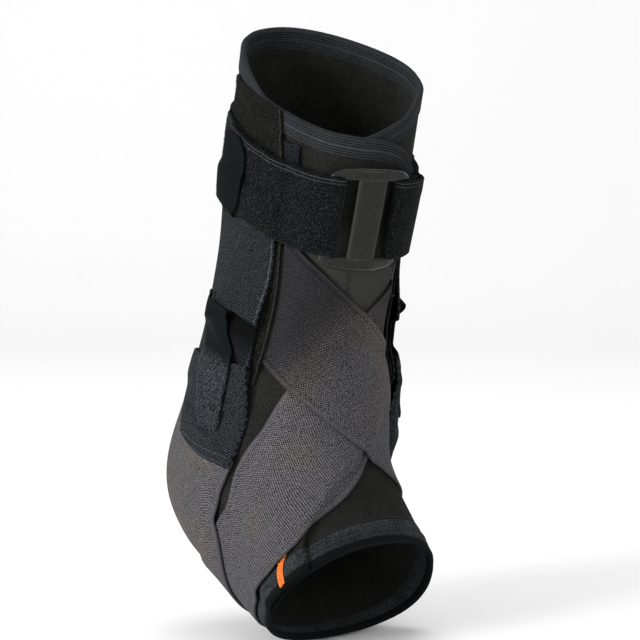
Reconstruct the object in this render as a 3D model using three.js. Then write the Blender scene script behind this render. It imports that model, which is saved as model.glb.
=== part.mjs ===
// Ankle brace for a right foot, as it sits when fastened: a stretch wrap with an open heel and open toes,
// two grey elastic straps crossed in a figure of eight, black side bands with hook ends, and a cuff strap
// that is pulled through a plastic ring. Millimetres, +Z up, toes towards -Y, outer side towards -X.
// The origin is the middle of the ankle, inside the hollow.
import * as THREE from "three";

// The limb that the hollow fits
const shaftHeight = 165; // ankle centre to the top of the shaft, along the shin
const shaftDepth = 86;
const shaftWidth = 78;
const footHeight = 78; // ankle centre to the sole
const footReach = 79; // ankle centre to the front edge, along the foot
const footWidth = 94.5;
const shinLean = 12; // degrees forward of upright
const footPitch = 22; // degrees, toes down

// The wrap
const wrapWall = 2.4;
const bindingProud = 0.5; // how far the two edge bands stand out from the wrap
const rimBandWidth = 8;
const forefootBandWidth = 9.5;
const flapOverlap = 30;
const heelOpeningWidth = 58;
const heelOpeningLength = 76;

// Straps, bands and panels
const elasticWidth = 48;
const elasticThickness = 1.5;
const loopPanelWidth = 44;
const loopPanelThickness = 1.2;
const sideBandWidth = 39;
const sideBandThickness = 1.5;
const hookEndWidth = 42;
const hookEndThickness = 1.5;
const pullTabWidth = 20;
const pullTabThickness = 1.3;
const innerAdvance = 14; // how far the inner side's panels lie nearer the front than the outer side's
const keeperWidth = 8.5;
const keeperThickness = 1.2;
const markWidth = 2.6;
const markThickness = 0.5;

// The cuff strap and its ring
const cuffWidth = 34.5;
const cuffThickness = 1.7;
const cuffTail = 50; // how far the cuff strap comes back over itself from the ring
const anchorTail = 42; // the same for the strap that holds the ring
const cuffTabWidth = 20;
const cuffTabThickness = 1.4;
const ringCentre = 10; // from the front centre line to the outer side
const ringWidth = 29.5;
const ringThickness = 2.2;
const ringRail = 4; // the bars across the top and the bottom
const ringPost = 3.2; // the two bars that the straps fold round
const ringBridge = 10; // the bar between the two slots
const slotClearance = 0.5; // beside a strap in its slot

const layerGap = 0.4; // between one layer and the next
const edgeGap = 0.35; // between pieces that meet edge to edge
const reach = 10; // how far round a point a layer looks for what it rests on
const cuffStation = 6.2; // between the rows of a cuff strap
const easingPasses = 2; // how often a layer's heights are eased
const turn = 2 * Math.PI;

// The limb's front and back lines in its middle plane, from the rim to the toes. Shaft rows are shares of
// the shaft's sizes along and across the shin, foot rows of the foot's sizes across and along the foot.
const profile = [
  { v: 0.0, part: "shaft", frontUp: 1.0, frontOut: 0.465, backUp: 1.0, backOut: 0.52 },
  { v: 0.15, part: "shaft", frontUp: 0.773, frontOut: 0.465, backUp: 0.747, backOut: 0.51 },
  { v: 0.3, part: "shaft", frontUp: 0.533, frontOut: 0.44, backUp: 0.453, backOut: 0.471 },
  { v: 0.42, part: "shaft", frontUp: 0.287, frontOut: 0.42, backUp: 0.24, backOut: 0.471 },
  { v: 0.52, part: "foot", frontUp: 0.282, frontOut: 0.549, backUp: -0.113, backOut: -0.634 },
  { v: 0.62, part: "foot", frontUp: 0.113, frontOut: 0.676, backUp: -0.648, backOut: -0.62 },
  { v: 0.72, part: "foot", frontUp: 0.042, frontOut: 0.76, backUp: -0.93, backOut: -0.282 },
  { v: 0.8, part: "foot", frontUp: -0.028, frontOut: 0.824, backUp: -0.986, backOut: 0.197 },
  { v: 0.9, part: "foot", frontUp: -0.141, frontOut: 0.901, backUp: -1.0, backOut: 0.592 },
  { v: 1.0, part: "foot", frontUp: -0.282, frontOut: 1.0, backUp: -0.972, backOut: 0.887 },
];

// Its sections: half the width as a share of the shaft's or the foot's width, egg widens the front of a
// section, and power squares it.
const girth = [
  { v: 0.0, half: 0.49, egg: 0, power: 2 },
  { v: 0.15, half: 0.486, egg: 0, power: 2 },
  { v: 0.3, half: 0.465, egg: 0.03, power: 2 },
  { v: 0.42, half: 0.486, egg: 0.06, power: 2 },
  { v: 0.52, half: 0.43, egg: 0.06, power: 2.1 },
  { v: 0.62, half: 0.413, egg: 0, power: 2.15 },
  { v: 0.72, half: 0.401, egg: -0.06, power: 2.2 },
  { v: 0.8, half: 0.419, egg: -0.12, power: 2.25 },
  { v: 0.9, half: 0.459, egg: -0.15, power: 2.3 },
  { v: 1.0, half: 0.5, egg: -0.18, power: 2.3 },
];

// Top edge of the wrap, from the free edge of the inner flap round the inner side, the back and the outer
// side to the rounded free end of the outer flap. turn is the share of the girth gone round.
const rimLine = [
  { turn: -0.14, v: 0.084 },
  { turn: -0.05, v: 0.068 },
  { turn: 0.0, v: 0.045 },
  { turn: 0.045, v: 0.026 },
  { turn: 0.085, v: 0.0 },
  { turn: 0.16, v: -0.02 },
  { turn: 0.3, v: -0.04 },
  { turn: 0.5, v: -0.05 },
  { turn: 0.64, v: -0.03 },
  { turn: 0.71, v: 0.002 },
  { turn: 0.75, v: 0.026 },
  { turn: 0.8, v: 0.042 },
  { turn: 0.85, v: 0.056 },
  { turn: 0.93, v: 0.066 },
  { turn: 0.98, v: 0.07 },
  { turn: 1.02, v: 0.084 },
  { turn: 1.062, v: 0.122 },
];

// Free edge of the outer flap from the rim to the toes, u being the share of the girth to the outer side.
const flapEdge = [
  { v: 0.0, u: -0.06 },
  { v: 0.3, u: -0.062 },
  { v: 0.42, u: -0.05 },
  { v: 0.55, u: 0.0 },
  { v: 0.68, u: 0.045 },
  { v: 0.78, u: 0.095 },
  { v: 0.88, u: 0.15 },
  { v: 1.0, u: 0.172 },
];

// Centre line of the figure-of-eight strap that lies on top: down from the outer side over the front, round
// the inner side, under the sole and up the outer side of the heel.
const upperStrapPath = [
  { u: 0.215, v: 0.315 },
  { u: 0.14, v: 0.365 },
  { u: 0.05, v: 0.425 },
  { u: -0.03, v: 0.49 },
  { u: -0.12, v: 0.6 },
  { u: -0.22, v: 0.7 },
  { u: -0.34, v: 0.785 },
  { u: -0.5, v: 0.815 },
  { u: -0.62, v: 0.77 },
  { u: -0.685, v: 0.68 },
  { u: -0.715, v: 0.6 },
  { u: -0.73, v: 0.548 },
];

// The other strap goes the other way round and crosses under the first at the front.
const lowerStrapPath = [
  { u: -0.215, v: 0.315 },
  { u: -0.14, v: 0.365 },
  { u: -0.05, v: 0.43 },
  { u: 0.046, v: 0.513 },
  { u: 0.111, v: 0.632 },
  { u: 0.197, v: 0.762 },
  { u: 0.274, v: 0.816 },
  { u: 0.37, v: 0.838 },
  { u: 0.5, v: 0.838 },
  { u: 0.615, v: 0.78 },
  { u: 0.705, v: 0.69 },
  { u: 0.76, v: 0.6 },
  { u: 0.78, v: 0.548 },
];

const advanceSpan = [0.2, 0.42]; // v over which the inner side's panels come forward

// Panels on the outer side, from top to bottom: u and v of the front edge, slant to the back edge, and width
// as a share of the piece's own width. The inner side mirrors them, nearer the front.
const loopPanelRows = [
  { v: 0.036, u: 0.205, slant: -0.03, width: 0.8 },
  { v: 0.13, u: 0.188, slant: -0.02, width: 0.95 },
  { v: 0.28, u: 0.17, slant: -0.01, width: 1.0 },
  { v: 0.385, u: 0.161, slant: 0.0, width: 1.0 },
  { v: 0.428, u: 0.166, slant: 0.0, width: 1.0 },
  { v: 0.47, u: 0.179, slant: 0.0, width: 0.9 },
];
const sideBandRows = [
  { v: 0.19, u: 0.192, slant: -0.02, width: 0.9 },
  { v: 0.3, u: 0.179, slant: -0.01, width: 0.95 },
  { v: 0.41, u: 0.183, slant: 0.0, width: 1.0 },
  { v: 0.5, u: 0.192, slant: 0.0, width: 0.95 },
];
const hookEndRows = [
  { v: 0.448, u: 0.188, slant: 0.005, width: 0.98 },
  { v: 0.51, u: 0.186, slant: -0.015, width: 1 },
  { v: 0.567, u: 0.2, slant: -0.03, width: 0.98 },
  { v: 0.612, u: 0.214, slant: -0.055, width: 0.9 },
];
// The inner side's hook end reaches further down.
const innerHookEndRows = [
  { v: 0.448, u: 0.188, slant: 0.005, width: 0.98 },
  { v: 0.54, u: 0.186, slant: -0.02, width: 1 },
  { v: 0.62, u: 0.195, slant: -0.04, width: 0.98 },
  { v: 0.69, u: 0.207, slant: -0.06, width: 0.9 },
];
const pullTabRows = [
  { v: 0.376, u: 0.234, slant: -0.02, width: 1.0 },
  { v: 0.405, u: 0.237, slant: -0.015, width: 0.9 },
  { v: 0.432, u: 0.22, slant: -0.01, width: 1.0 },
  { v: 0.47, u: 0.218, slant: 0.0, width: 0.85 },
  { v: 0.515, u: 0.225, slant: 0.0, width: 0.66 },
  { v: 0.54, u: 0.231, slant: -0.005, width: 0.5 },
];
const keeperRows = [
  { v: 0.094, u: 0.164, slant: -0.006, width: 1.0 },
  { v: 0.175, u: 0.158, slant: -0.006, width: 1.0 },
];
const markRows = [
  { v: 0.9, u: 0.19, slant: 0.002, width: 0.8 },
  { v: 0.95, u: 0.222, slant: 0.002, width: 1.0 },
  { v: 0.99, u: 0.234, slant: 0.002, width: 0.8 },
];

// Upper edge of the cuff strap, lower at the shin than at the calf.
const cuffLine = [
  { u: 0.0, v: 0.135 },
  { u: 0.1, v: 0.133 },
  { u: 0.15, v: 0.129 },
  { u: 0.2, v: 0.119 },
  { u: 0.25, v: 0.105 },
  { u: 0.3, v: 0.086 },
  { u: 0.4, v: 0.067 },
  { u: 0.5, v: 0.062 },
];

const cuffTabRows = [
  { v: 0.1, u: 0.27, slant: -0.004, width: 0.5 },
  { v: 0.118, u: 0.256, slant: -0.008, width: 0.86 },
  { v: 0.15, u: 0.25, slant: -0.01, width: 1.0 },
  { v: 0.19, u: 0.25, slant: -0.01, width: 1.0 },
  { v: 0.215, u: 0.256, slant: -0.008, width: 0.86 },
  { v: 0.23, u: 0.268, slant: -0.004, width: 0.5 },
];
const cuffSeam = 0.56; // share of the girth, going round the outer side, to the seam at the back

const finishes = {
  wrap: { color: 0x292725, roughness: 0.9 },
  trim: { color: 0x232527, roughness: 0.8 },
  elastic: { color: 0x535256, roughness: 0.85 },
  loop: { color: 0x24231f, roughness: 1.0 },
  band: { color: 0x1f242a, roughness: 0.75 },
  tab: { color: 0x262c30, roughness: 0.6 },
  ring: { color: 0x2b2d2a, roughness: 0.4 },
  mark: { color: 0xe05f14, roughness: 0.7 },
};

// A smooth value through the rows of a table, with tangents from the neighbouring rows.
function smooth(rows, key, name, x) {
  const last = rows.length - 1;
  let k = rows.findIndex((row) => row[key] > x) - 1;
  if (k < 0) k = x < rows[0][key] ? 0 : last - 1;
  const slope = (i) => (rows[i + 1][name] - rows[i][name]) / (rows[i + 1][key] - rows[i][key]);
  const tangent = (i) => {
    if (i === 0) return slope(0);
    if (i === last) return slope(last - 1);
    const before = rows[i][key] - rows[i - 1][key];
    const after = rows[i + 1][key] - rows[i][key];
    return (after * slope(i - 1) + before * slope(i)) / (before + after);
  };
  const span = rows[k + 1][key] - rows[k][key];
  const t = (x - rows[k][key]) / span;
  const late = 3 * t ** 2 - 2 * t ** 3;
  const ends = (1 - late) * rows[k][name] + late * rows[k + 1][name];
  return ends + span * ((t ** 3 - 2 * t ** 2 + t) * tangent(k) + (t ** 3 - t ** 2) * tangent(k + 1));
}

const radians = THREE.MathUtils.degToRad;
const step = THREE.MathUtils.smoothstep;

// The same rows in millimetres: front and back points as (forward, up) in the middle plane of the leg.
const sections = profile.map((row, k) => {
  const onShaft = row.part === "shaft";
  const angle = radians(onShaft ? shinLean : footPitch);
  const out = [Math.cos(angle), -Math.sin(angle)];
  const up = [Math.sin(angle), Math.cos(angle)];
  const tall = onShaft ? shaftHeight : footHeight;
  const deep = onShaft ? shaftDepth : footReach;
  const behind = onShaft ? -row.backOut : row.backOut;
  const point = (upShare, outShare, axis) => upShare * tall * up[axis] + outShare * deep * out[axis];
  return {
    v: row.v,
    frontAhead: point(row.frontUp, row.frontOut, 0),
    frontHigh: point(row.frontUp, row.frontOut, 1),
    backAhead: point(row.backUp, behind, 0),
    backHigh: point(row.backUp, behind, 1),
    half: girth[k].half * (onShaft ? shaftWidth : footWidth),
    egg: girth[k].egg,
    power: girth[k].power,
  };
});

// A point of the limb: u goes round it from the front centre line to the outer side, v down from the rim.
function limb(u, v) {
  const at = (name) => smooth(sections, "v", name, v);
  const round = (x) => Math.sign(x) * Math.abs(x) ** (2 / at("power"));
  const c = round(Math.cos(turn * u));
  const s = round(Math.sin(turn * u));
  const ahead = (at("frontAhead") * (1 + c) + at("backAhead") * (1 - c)) / 2;
  const high = (at("frontHigh") * (1 + c) + at("backHigh") * (1 - c)) / 2;
  return new THREE.Vector3(-at("half") * s * (1 + at("egg") * c), -ahead, high);
}

// Millimetres moved for a unit of u and of v, and the outward normal.
function frame(u, v) {
  const small = 0.002;
  const alongU = limb(u + small, v).sub(limb(u - small, v)).divideScalar(2 * small);
  const alongV = limb(u, v + small).sub(limb(u, v - small)).divideScalar(2 * small);
  return { alongU, alongV, normal: alongU.clone().cross(alongV).normalize() };
}

const perU = (u, v) => frame(u, v).alongU.length();
const perV = (u, v) => frame(u, v).alongV.length();
const place = (u, v, height) => limb(u, v).addScaledVector(frame(u, v).normal, height);

// One closed body from a lattice of nodes, each with an inner and an outer point. Cells that keep refuses
// are left out, nodes at one place are joined, and every open border gets a wall.
function closedBody(lattice, keep = () => true) {
  const index = new Map();
  const outer = [];
  const inner = [];
  const id = (node) => {
    const key = [node.outer.x, node.outer.y, node.outer.z].map((x) => x.toFixed(3)).join();
    if (!index.has(key)) {
      index.set(key, outer.length);
      outer.push(node.outer);
      inner.push(node.inner);
    }
    return index.get(key);
  };
  const ids = lattice.map((row) => row.map(id));
  const count = outer.length;
  const faces = [];
  const border = new Map();
  const quad = (a, b, c, d) => faces.push(a, b, c, a, c, d);
  for (let j = 0; j + 1 < ids.length; j += 1) {
    for (let i = 0; i + 1 < ids[j].length; i += 1) {
      if (!keep(i, j)) continue;
      const ring = [ids[j][i], ids[j][i + 1], ids[j + 1][i + 1], ids[j + 1][i]];
      quad(...ring);
      quad(...ring.map((k) => k + count).reverse());
      ring.forEach((a, k) => {
        const b = ring[(k + 1) % 4];
        if (!border.delete(`${b},${a}`)) border.set(`${a},${b}`, [a, b]);
      });
    }
  }
  for (const [a, b] of border.values()) quad(b, a, a + count, b + count);
  const points = outer.concat(inner);
  let volume = 0;
  for (let k = 0; k < faces.length; k += 3) {
    const [a, b, c] = [points[faces[k]], points[faces[k + 1]], points[faces[k + 2]]];
    volume += a.dot(b.clone().cross(c));
  }
  if (volume < 0) faces.reverse();
  const positions = points.flatMap((point) => point.toArray());
  const geometry = new THREE.BufferGeometry();
  geometry.setAttribute("position", new THREE.Float32BufferAttribute(positions, 3));
  geometry.setIndex(faces);
  geometry.computeVertexNormals();
  return geometry;
}

const brace = new THREE.Group();
function add(name, finish, geometry) {
  const material = new THREE.MeshStandardMaterial({ ...finish, metalness: 0 });
  const mesh = new THREE.Mesh(geometry, material);
  mesh.name = name;
  brace.add(mesh);
}

// Layers already laid: each is a list of limb points with the height of the layer's outer face there.
const laid = [];

// Height of the highest layer within reach of a point of the limb.
function topOfLayers(point) {
  let height = wrapWall;
  for (const layer of laid) {
    for (const spot of layer) {
      if (spot.height > height && spot.point.distanceTo(point) < reach) height = spot.height;
    }
  }
  return height;
}

// How far the flat facets round a node may stray from the limb, from the node and its neighbours.
function straying(points, i, j) {
  const stray = (before, after) =>
    before && after ? before.clone().add(after).divideScalar(2).distanceTo(points[j][i]) / 4 : 0;
  const down = stray(points[j - 1]?.[i], points[j + 1]?.[i]);
  const across = stray(points[j][i - 1], points[j][i + 1]);
  return Math.max(down, across);
}

// Heights for a lattice of (u, v) nodes so that it clears what is under it, eased between neighbours.
function restingHeights(lattice) {
  const points = lattice.map((row) => row.map(({ u, v }) => limb(u, v)));
  let heights = points.map((row, j) =>
    row.map((point, i) => topOfLayers(point) + layerGap + straying(points, i, j)),
  );
  for (let pass = 0; pass < easingPasses; pass += 1) {
    heights = heights.map((row, j) =>
      row.map((height, i) => {
        const near = [row[i - 1], row[i + 1], heights[j - 1]?.[i], heights[j + 1]?.[i]];
        const known = near.filter((x) => x !== undefined);
        const mean = known.reduce((sum, x) => sum + x, 0) / known.length;
        return Math.max(height, mean);
      }),
    );
  }
  return { points, heights };
}

// A layer laid on what is there already, as one closed body.
function layOn(name, finish, lattice, thickness) {
  const { points, heights } = restingHeights(lattice);
  const nodes = lattice.map((row, j) =>
    row.map(({ u, v }, i) => ({
      inner: place(u, v, heights[j][i]),
      outer: place(u, v, heights[j][i] + thickness),
    })),
  );
  add(name, finish, closedBody(nodes));
  const top = (point, j, i) => ({ point, height: heights[j][i] + thickness });
  laid.push(points.flatMap((row, j) => row.map((point, i) => top(point, j, i))));
}

// The wrap: one sheet from the inner flap round the leg to the outer flap, which lies over it.
const wrapColumns = 32;
const heelCentre = 0.63;
const flapRaise = wrapWall + bindingProud + layerGap;
const flapRamp = 12;

// Half of the heel opening's width at v, as a share of the girth, and never less than a narrow strip.
function heelHalf(v) {
  const across = ((v - heelCentre) * perV(0.5, heelCentre)) / (heelOpeningLength / 2);
  return (heelOpeningWidth / 2 / perU(0.5, heelCentre)) * Math.sqrt(Math.max(0, 1 - across ** 2));
}
// The sheet's two middle columns meet at the back and part round the heel opening.
const besideHeel = (column) => column !== wrapColumns / 2;

// Share of the girth gone round at a column, from the inner flap's free edge to the outer flap's.
function turnAt(column, v) {
  const free = smooth(flapEdge, "v", "u", v);
  const start = -free - flapOverlap / perU(free, v);
  const end = 1 - free;
  const middle = wrapColumns / 2;
  const gap = heelHalf(v);
  if (column <= middle) return start + (0.5 - gap - start) * (column / middle);
  return 0.5 + gap + (end - 0.5 - gap) * ((column - middle - 1) / middle);
}

// How far the outer flap is lifted to lie over the inner one.
function flapLift(column, v) {
  if (column <= wrapColumns / 2) return 0;
  const under = smooth(flapEdge, "v", "u", v) + flapOverlap / perU(0, v);
  const past = (1 - turnAt(column, v) - under) * perU(0, v);
  return flapRaise * (1 - step(past - reach, 0, flapRamp));
}

// A length along the limb at a column, as a share of v near the rim or near the toes.
const rimLevel = 0.1;
const toeLevel = 0.95;
const nearRim = (column, length) => length / perV(-turnAt(column, rimLevel), rimLevel);
const nearToes = (column, length) => length / perV(-turnAt(column, toeLevel), toeLevel);

const rimAt = (column) => smooth(rimLine, "turn", "v", turnAt(column, rimLevel));
const toeAt = (column) => 1 - nearToes(column, forefootBandWidth);

// Nodes of one row of the wrap or of an edge band, at a height v that may differ from column to column.
function wrapRow(vAt, proud) {
  return Array.from({ length: wrapColumns + 2 }, (_, column) => {
    const v = vAt(column);
    const u = -turnAt(column, v);
    const lift = flapLift(column, v);
    return { u, v, inner: place(u, v, lift), outer: place(u, v, lift + wrapWall + proud), lift };
  });
}

const bodyFrom = (column) => rimAt(column) + nearRim(column, rimBandWidth + edgeGap);
const bodyTo = (column) => toeAt(column) - nearToes(column, edgeGap);
// Rows of the sheet, closer together round the bend of the ankle at the middle.
const wrapStations = 25;
const crowding = 0.058;
const wrapRows = Array.from({ length: wrapStations + 1 }, (_, n) => {
  const share = n / wrapStations + crowding * Math.sin((turn * n) / wrapStations);
  return wrapRow((column) => bodyFrom(column) + share * (bodyTo(column) - bodyFrom(column)), 0);
});
add("base_wrap", finishes.wrap, closedBody(wrapRows, besideHeel));
const wrapPoints = wrapRows.map((row) => row.map(({ u, v }) => limb(u, v)));
laid.push(
  wrapRows.flatMap((row, j) =>
    row.map(({ lift }, i) => ({
      point: wrapPoints[j][i],
      height: lift + wrapWall + straying(wrapPoints, i, j),
    })),
  ),
);

const rimRows = [0, 1].map((share) =>
  wrapRow((column) => rimAt(column) + nearRim(column, share * rimBandWidth), bindingProud),
);
const toeRows = [0, 1].map((share) =>
  wrapRow((column) => toeAt(column) + share * (1 - toeAt(column)), bindingProud),
);
for (const [name, rows] of [
  ["rim_band", rimRows],
  ["forefoot_band", toeRows],
]) {
  add(name, finishes.trim, closedBody(rows, besideHeel));
  laid.push(
    rows.flat().map(({ u, v, lift }) => ({ point: limb(u, v), height: lift + wrapWall + bindingProud })),
  );
}

// A strap of even width: its centre line runs through the path's knots, and its columns are reached by
// walking over the limb square to that line.
function strapLattice(path, width, stations, columns) {
  const knots = path.map((knot, k) => ({ k, ...knot }));
  const line = (t) => ({ u: smooth(knots, "k", "u", t), v: smooth(knots, "k", "v", t) });
  const fine = 300;
  const trail = Array.from({ length: fine + 1 }, (_, n) => line((n / fine) * (path.length - 1)));
  const points = trail.map(({ u, v }) => limb(u, v));
  const run = [0];
  for (let n = 1; n <= fine; n += 1) run.push(run[n - 1] + points[n].distanceTo(points[n - 1]));
  return Array.from({ length: stations + 1 }, (_, j) => {
    const wanted = (j / stations) * run[fine];
    const n = Math.min(fine - 1, Math.max(1, run.findIndex((length) => length >= wanted)));
    const heading = points[n + 1].clone().sub(points[n - 1]).normalize();
    const row = new Array(columns + 1);
    const middle = columns / 2;
    row[middle] = trail[n];
    for (const side of [-1, 1]) {
      let { u, v } = trail[n];
      for (let k = 1; k <= middle; k += 1) {
        const { alongU, alongV, normal } = frame(u, v);
        const across = normal.cross(heading).normalize().multiplyScalar((side * width) / columns);
        const [a, b, c] = [alongU.dot(alongU), alongU.dot(alongV), alongV.dot(alongV)];
        const [p, q] = [across.dot(alongU), across.dot(alongV)];
        u += (c * p - b * q) / (a * c - b * b);
        v += (a * q - b * p) / (a * c - b * b);
        row[middle + side * k] = { u, v };
      }
    }
    return row;
  });
}

// A panel between its front and back edges; side is 1 on the outer side of the leg and -1 on the inner,
// where it lies further ahead.
function panelLattice(rows, width, side, stations, columns) {
  const top = rows[0].v;
  const bottom = rows[rows.length - 1].v;
  return Array.from({ length: stations + 1 }, (_, j) => {
    const v = top + ((bottom - top) * j) / stations;
    const at = (name) => smooth(rows, "v", name, v);
    const wide = (width * at("width")) / perU(at("u"), v);
    const ahead = side < 0 ? (innerAdvance * step(v, ...advanceSpan)) / perU(at("u"), v) : 0;
    return Array.from({ length: columns + 1 }, (_, i) => ({
      u: side * (at("u") + (wide * i) / columns) + ahead,
      v: v + (at("slant") * i) / columns,
    }));
  });
}

const strapStations = 48;
const strapColumns = 8;
const sides = [
  { name: "lateral", side: 1, endRows: hookEndRows },
  { name: "medial", side: -1, endRows: innerHookEndRows },
];
layOn("orange_mark", finishes.mark, panelLattice(markRows, markWidth, 1, 6, 1), markThickness);
layOn("keeper_tab", finishes.band, panelLattice(keeperRows, keeperWidth, 1, 4, 2), keeperThickness);
for (const [name, path] of [
  ["lower_strap", lowerStrapPath],
  ["upper_strap", upperStrapPath],
]) {
  const lattice = strapLattice(path, elasticWidth, strapStations, strapColumns);
  layOn(name, finishes.elastic, lattice, elasticThickness);
}
for (const { name, side } of sides) {
  const lattice = panelLattice(loopPanelRows, loopPanelWidth, side, 14, 5);
  layOn(`${name}_loop_panel`, finishes.loop, lattice, loopPanelThickness);
}
for (const { name, side } of sides) {
  const lattice = panelLattice(sideBandRows, sideBandWidth, side, 11, 5);
  layOn(`${name}_side_band`, finishes.band, lattice, sideBandThickness);
}
for (const { name, side, endRows } of sides) {
  const lattice = panelLattice(endRows, hookEndWidth, side, 7, 5);
  layOn(`${name}_hook_end`, finishes.band, lattice, hookEndThickness);
}
for (const { name, side } of sides) {
  const lattice = panelLattice(pullTabRows, pullTabWidth, side, 8, 3);
  layOn(`${name}_pull_tab`, finishes.tab, lattice, pullTabThickness);
}

// A strap that comes round the leg, passes under a post of the ring, folds round it and comes back over
// itself. side is 1 for the strap from the outer side of the leg and -1 for the one from the inner side.
const cuffLevel = 0.2;
const girthScale = perU(0, cuffLevel);
const foldRadius = (ringThickness + cuffThickness) / 2 + layerGap;
const settle = 24; // from the fold to where the two passes lie close

function cuffNode(u, share) {
  const around = Math.abs(((u + 1.5) % 1) - 0.5);
  const top = smooth(cuffLine, "u", "v", around);
  return { u, v: top + (share * cuffWidth) / perV(u, cuffLevel) };
}

// The ring's nodes and the even level on which both straps pass under it.
const ringHeight = cuffWidth + 2 * (slotClearance + ringRail);
const halfRing = ringWidth / 2;
const halfBridge = ringBridge / 2;
const ringAcross = [-halfRing, ringPost - halfRing, -halfBridge, halfBridge, halfRing - ringPost, halfRing];
const ringAlong = [0, ringRail, ringHeight / 2, ringHeight - ringRail, ringHeight];
const ringMargin = (slotClearance + ringRail) / perV(0, cuffLevel);
const ringTop = smooth(cuffLine, "u", "v", ringCentre / girthScale) - ringMargin;
const ringSpots = ringAlong.map((down) =>
  ringAcross.map((x) => ({
    u: (ringCentre + x) / girthScale,
    v: ringTop + down / perV(0, cuffLevel),
  })),
);
const ringFloor = Math.max(...restingHeights(ringSpots).heights.flat());
const ringBase = ringFloor + cuffThickness / 2 + foldRadius - ringThickness / 2;

function foldedStrap(name, side, seam, tail) {
  const centre = ringCentre + side * (ringWidth / 2 - ringPost + edgeGap);
  const far = seam * girthScale - side * centre;
  const back = Math.round(tail / cuffStation);
  const forth = back + Math.round((far - tail) / cuffStation);
  const away = Array.from({ length: forth + 1 }, (_, k) =>
    k <= back ? (tail * k) / back : tail + ((far - tail) * (k - back)) / (forth - back),
  );
  const across = [0, 0.2, 0.4, 0.6, 0.8, 1];
  const lattice = away.map((d) => {
    const u = (centre + side * d) / girthScale;
    return across.map((share) => cuffNode(u, share));
  });
  const { points, heights } = restingHeights(lattice);
  heights.forEach((row, k) => {
    const level = 1 - step(away[k], ringPost, settle);
    row.forEach((height, j) => (row[j] = Math.max(height, height + (ringFloor - height) * level)));
  });
  const close = cuffThickness + layerGap;
  const rise = (d) => close + (2 * foldRadius - close) * (1 - step(d, ringPost, settle));
  const stationOf = (k, lift, angle) =>
    lattice[k].map(({ u, v }, j) => {
      const { alongU, normal } = frame(u, v);
      const toPost = alongU.normalize().multiplyScalar(side);
      const facing = normal.clone().multiplyScalar(Math.cos(angle));
      facing.addScaledVector(toPost, Math.sin(angle));
      const centreLine = limb(u, v).addScaledVector(normal, heights[k][j] + cuffThickness / 2 + lift);
      const turned = centreLine.addScaledVector(toPost, -foldRadius * Math.sin(angle));
      return {
        outer: turned.clone().addScaledVector(facing, cuffThickness / 2),
        inner: turned.clone().addScaledVector(facing, -cuffThickness / 2),
      };
    });
  const under = away.map((_, k) => stationOf(k, 0, 0)).reverse();
  const folds = [1, 2, 3, 4, 5].map((n) => {
    const angle = (n * Math.PI) / 6;
    return stationOf(0, foldRadius * (1 - Math.cos(angle)), angle);
  });
  const over = away.slice(0, back + 1).map((d, k) => stationOf(k, rise(d), Math.PI));
  add(name, finishes.loop, closedBody([...under, ...folds, ...over]));
  const topOf = (k) => (k <= back ? rise(away[k]) : 0) + cuffThickness;
  laid.push(
    points.flatMap((row, k) => row.map((point, j) => ({ point, height: heights[k][j] + topOf(k) }))),
  );
}

foldedStrap("cuff_strap", 1, cuffSeam, cuffTail);
foldedStrap("ring_anchor_strap", -1, 1 - cuffSeam - edgeGap / girthScale, anchorTail);

// The ring: a curved plate with two slots, held between the two folds.
const ringNodes = ringSpots.map((row) =>
  row.map(({ u, v }) => ({
    inner: place(u, v, ringBase),
    outer: place(u, v, ringBase + ringThickness),
  })),
);
const inSlot = (i, j) => (i === 1 || i === 3) && (j === 1 || j === 2);
add("ring_buckle", finishes.ring, closedBody(ringNodes, (i, j) => !inSlot(i, j)));
layOn("cuff_hook_tab", finishes.tab, panelLattice(cuffTabRows, cuffTabWidth, 1, 7, 3), cuffTabThickness);

export default brace;
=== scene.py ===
"""Looks of an ankle brace for a right foot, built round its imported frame.

The brace is a stretch wrap with two grey elastic straps crossed over it, ribbed bands with hook ends on both
sides, and a brushed cuff strap that is folded through a plastic ring. Every cloth piece is a lattice of
places on the limb (u round it, v down it), lifted along the limb's normal by what lies under the piece.
"""

import math

import bpy
import numpy as np
from bpy.props import FloatProperty, FloatVectorProperty, PointerProperty
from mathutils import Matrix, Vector


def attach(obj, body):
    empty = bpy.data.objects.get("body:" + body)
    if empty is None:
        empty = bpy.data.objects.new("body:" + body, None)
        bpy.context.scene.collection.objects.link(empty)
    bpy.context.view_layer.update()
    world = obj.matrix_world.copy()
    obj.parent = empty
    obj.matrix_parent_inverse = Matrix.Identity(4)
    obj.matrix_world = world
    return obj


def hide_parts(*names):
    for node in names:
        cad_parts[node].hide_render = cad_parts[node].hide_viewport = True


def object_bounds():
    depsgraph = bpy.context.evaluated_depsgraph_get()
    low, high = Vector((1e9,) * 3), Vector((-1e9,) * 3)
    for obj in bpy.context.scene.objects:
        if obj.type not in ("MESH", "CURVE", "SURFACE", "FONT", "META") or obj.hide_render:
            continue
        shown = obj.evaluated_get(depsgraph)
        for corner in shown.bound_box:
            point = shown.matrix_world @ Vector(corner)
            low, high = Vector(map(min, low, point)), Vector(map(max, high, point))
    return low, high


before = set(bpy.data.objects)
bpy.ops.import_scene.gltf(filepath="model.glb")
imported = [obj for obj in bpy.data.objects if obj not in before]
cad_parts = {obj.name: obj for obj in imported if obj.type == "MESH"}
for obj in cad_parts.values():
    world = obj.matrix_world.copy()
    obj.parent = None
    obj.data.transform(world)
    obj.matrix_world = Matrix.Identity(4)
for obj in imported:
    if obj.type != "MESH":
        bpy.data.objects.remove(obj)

bl_info = {
    "name": "Ankle brace",
    "version": (1, 0, 0),
    "blender": (4, 5, 0),
    "location": "3D View > Sidebar > Brace",
    "description": "Cloth, straps, buckle and stage of an ankle brace",
    "category": "Object",
}

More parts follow.
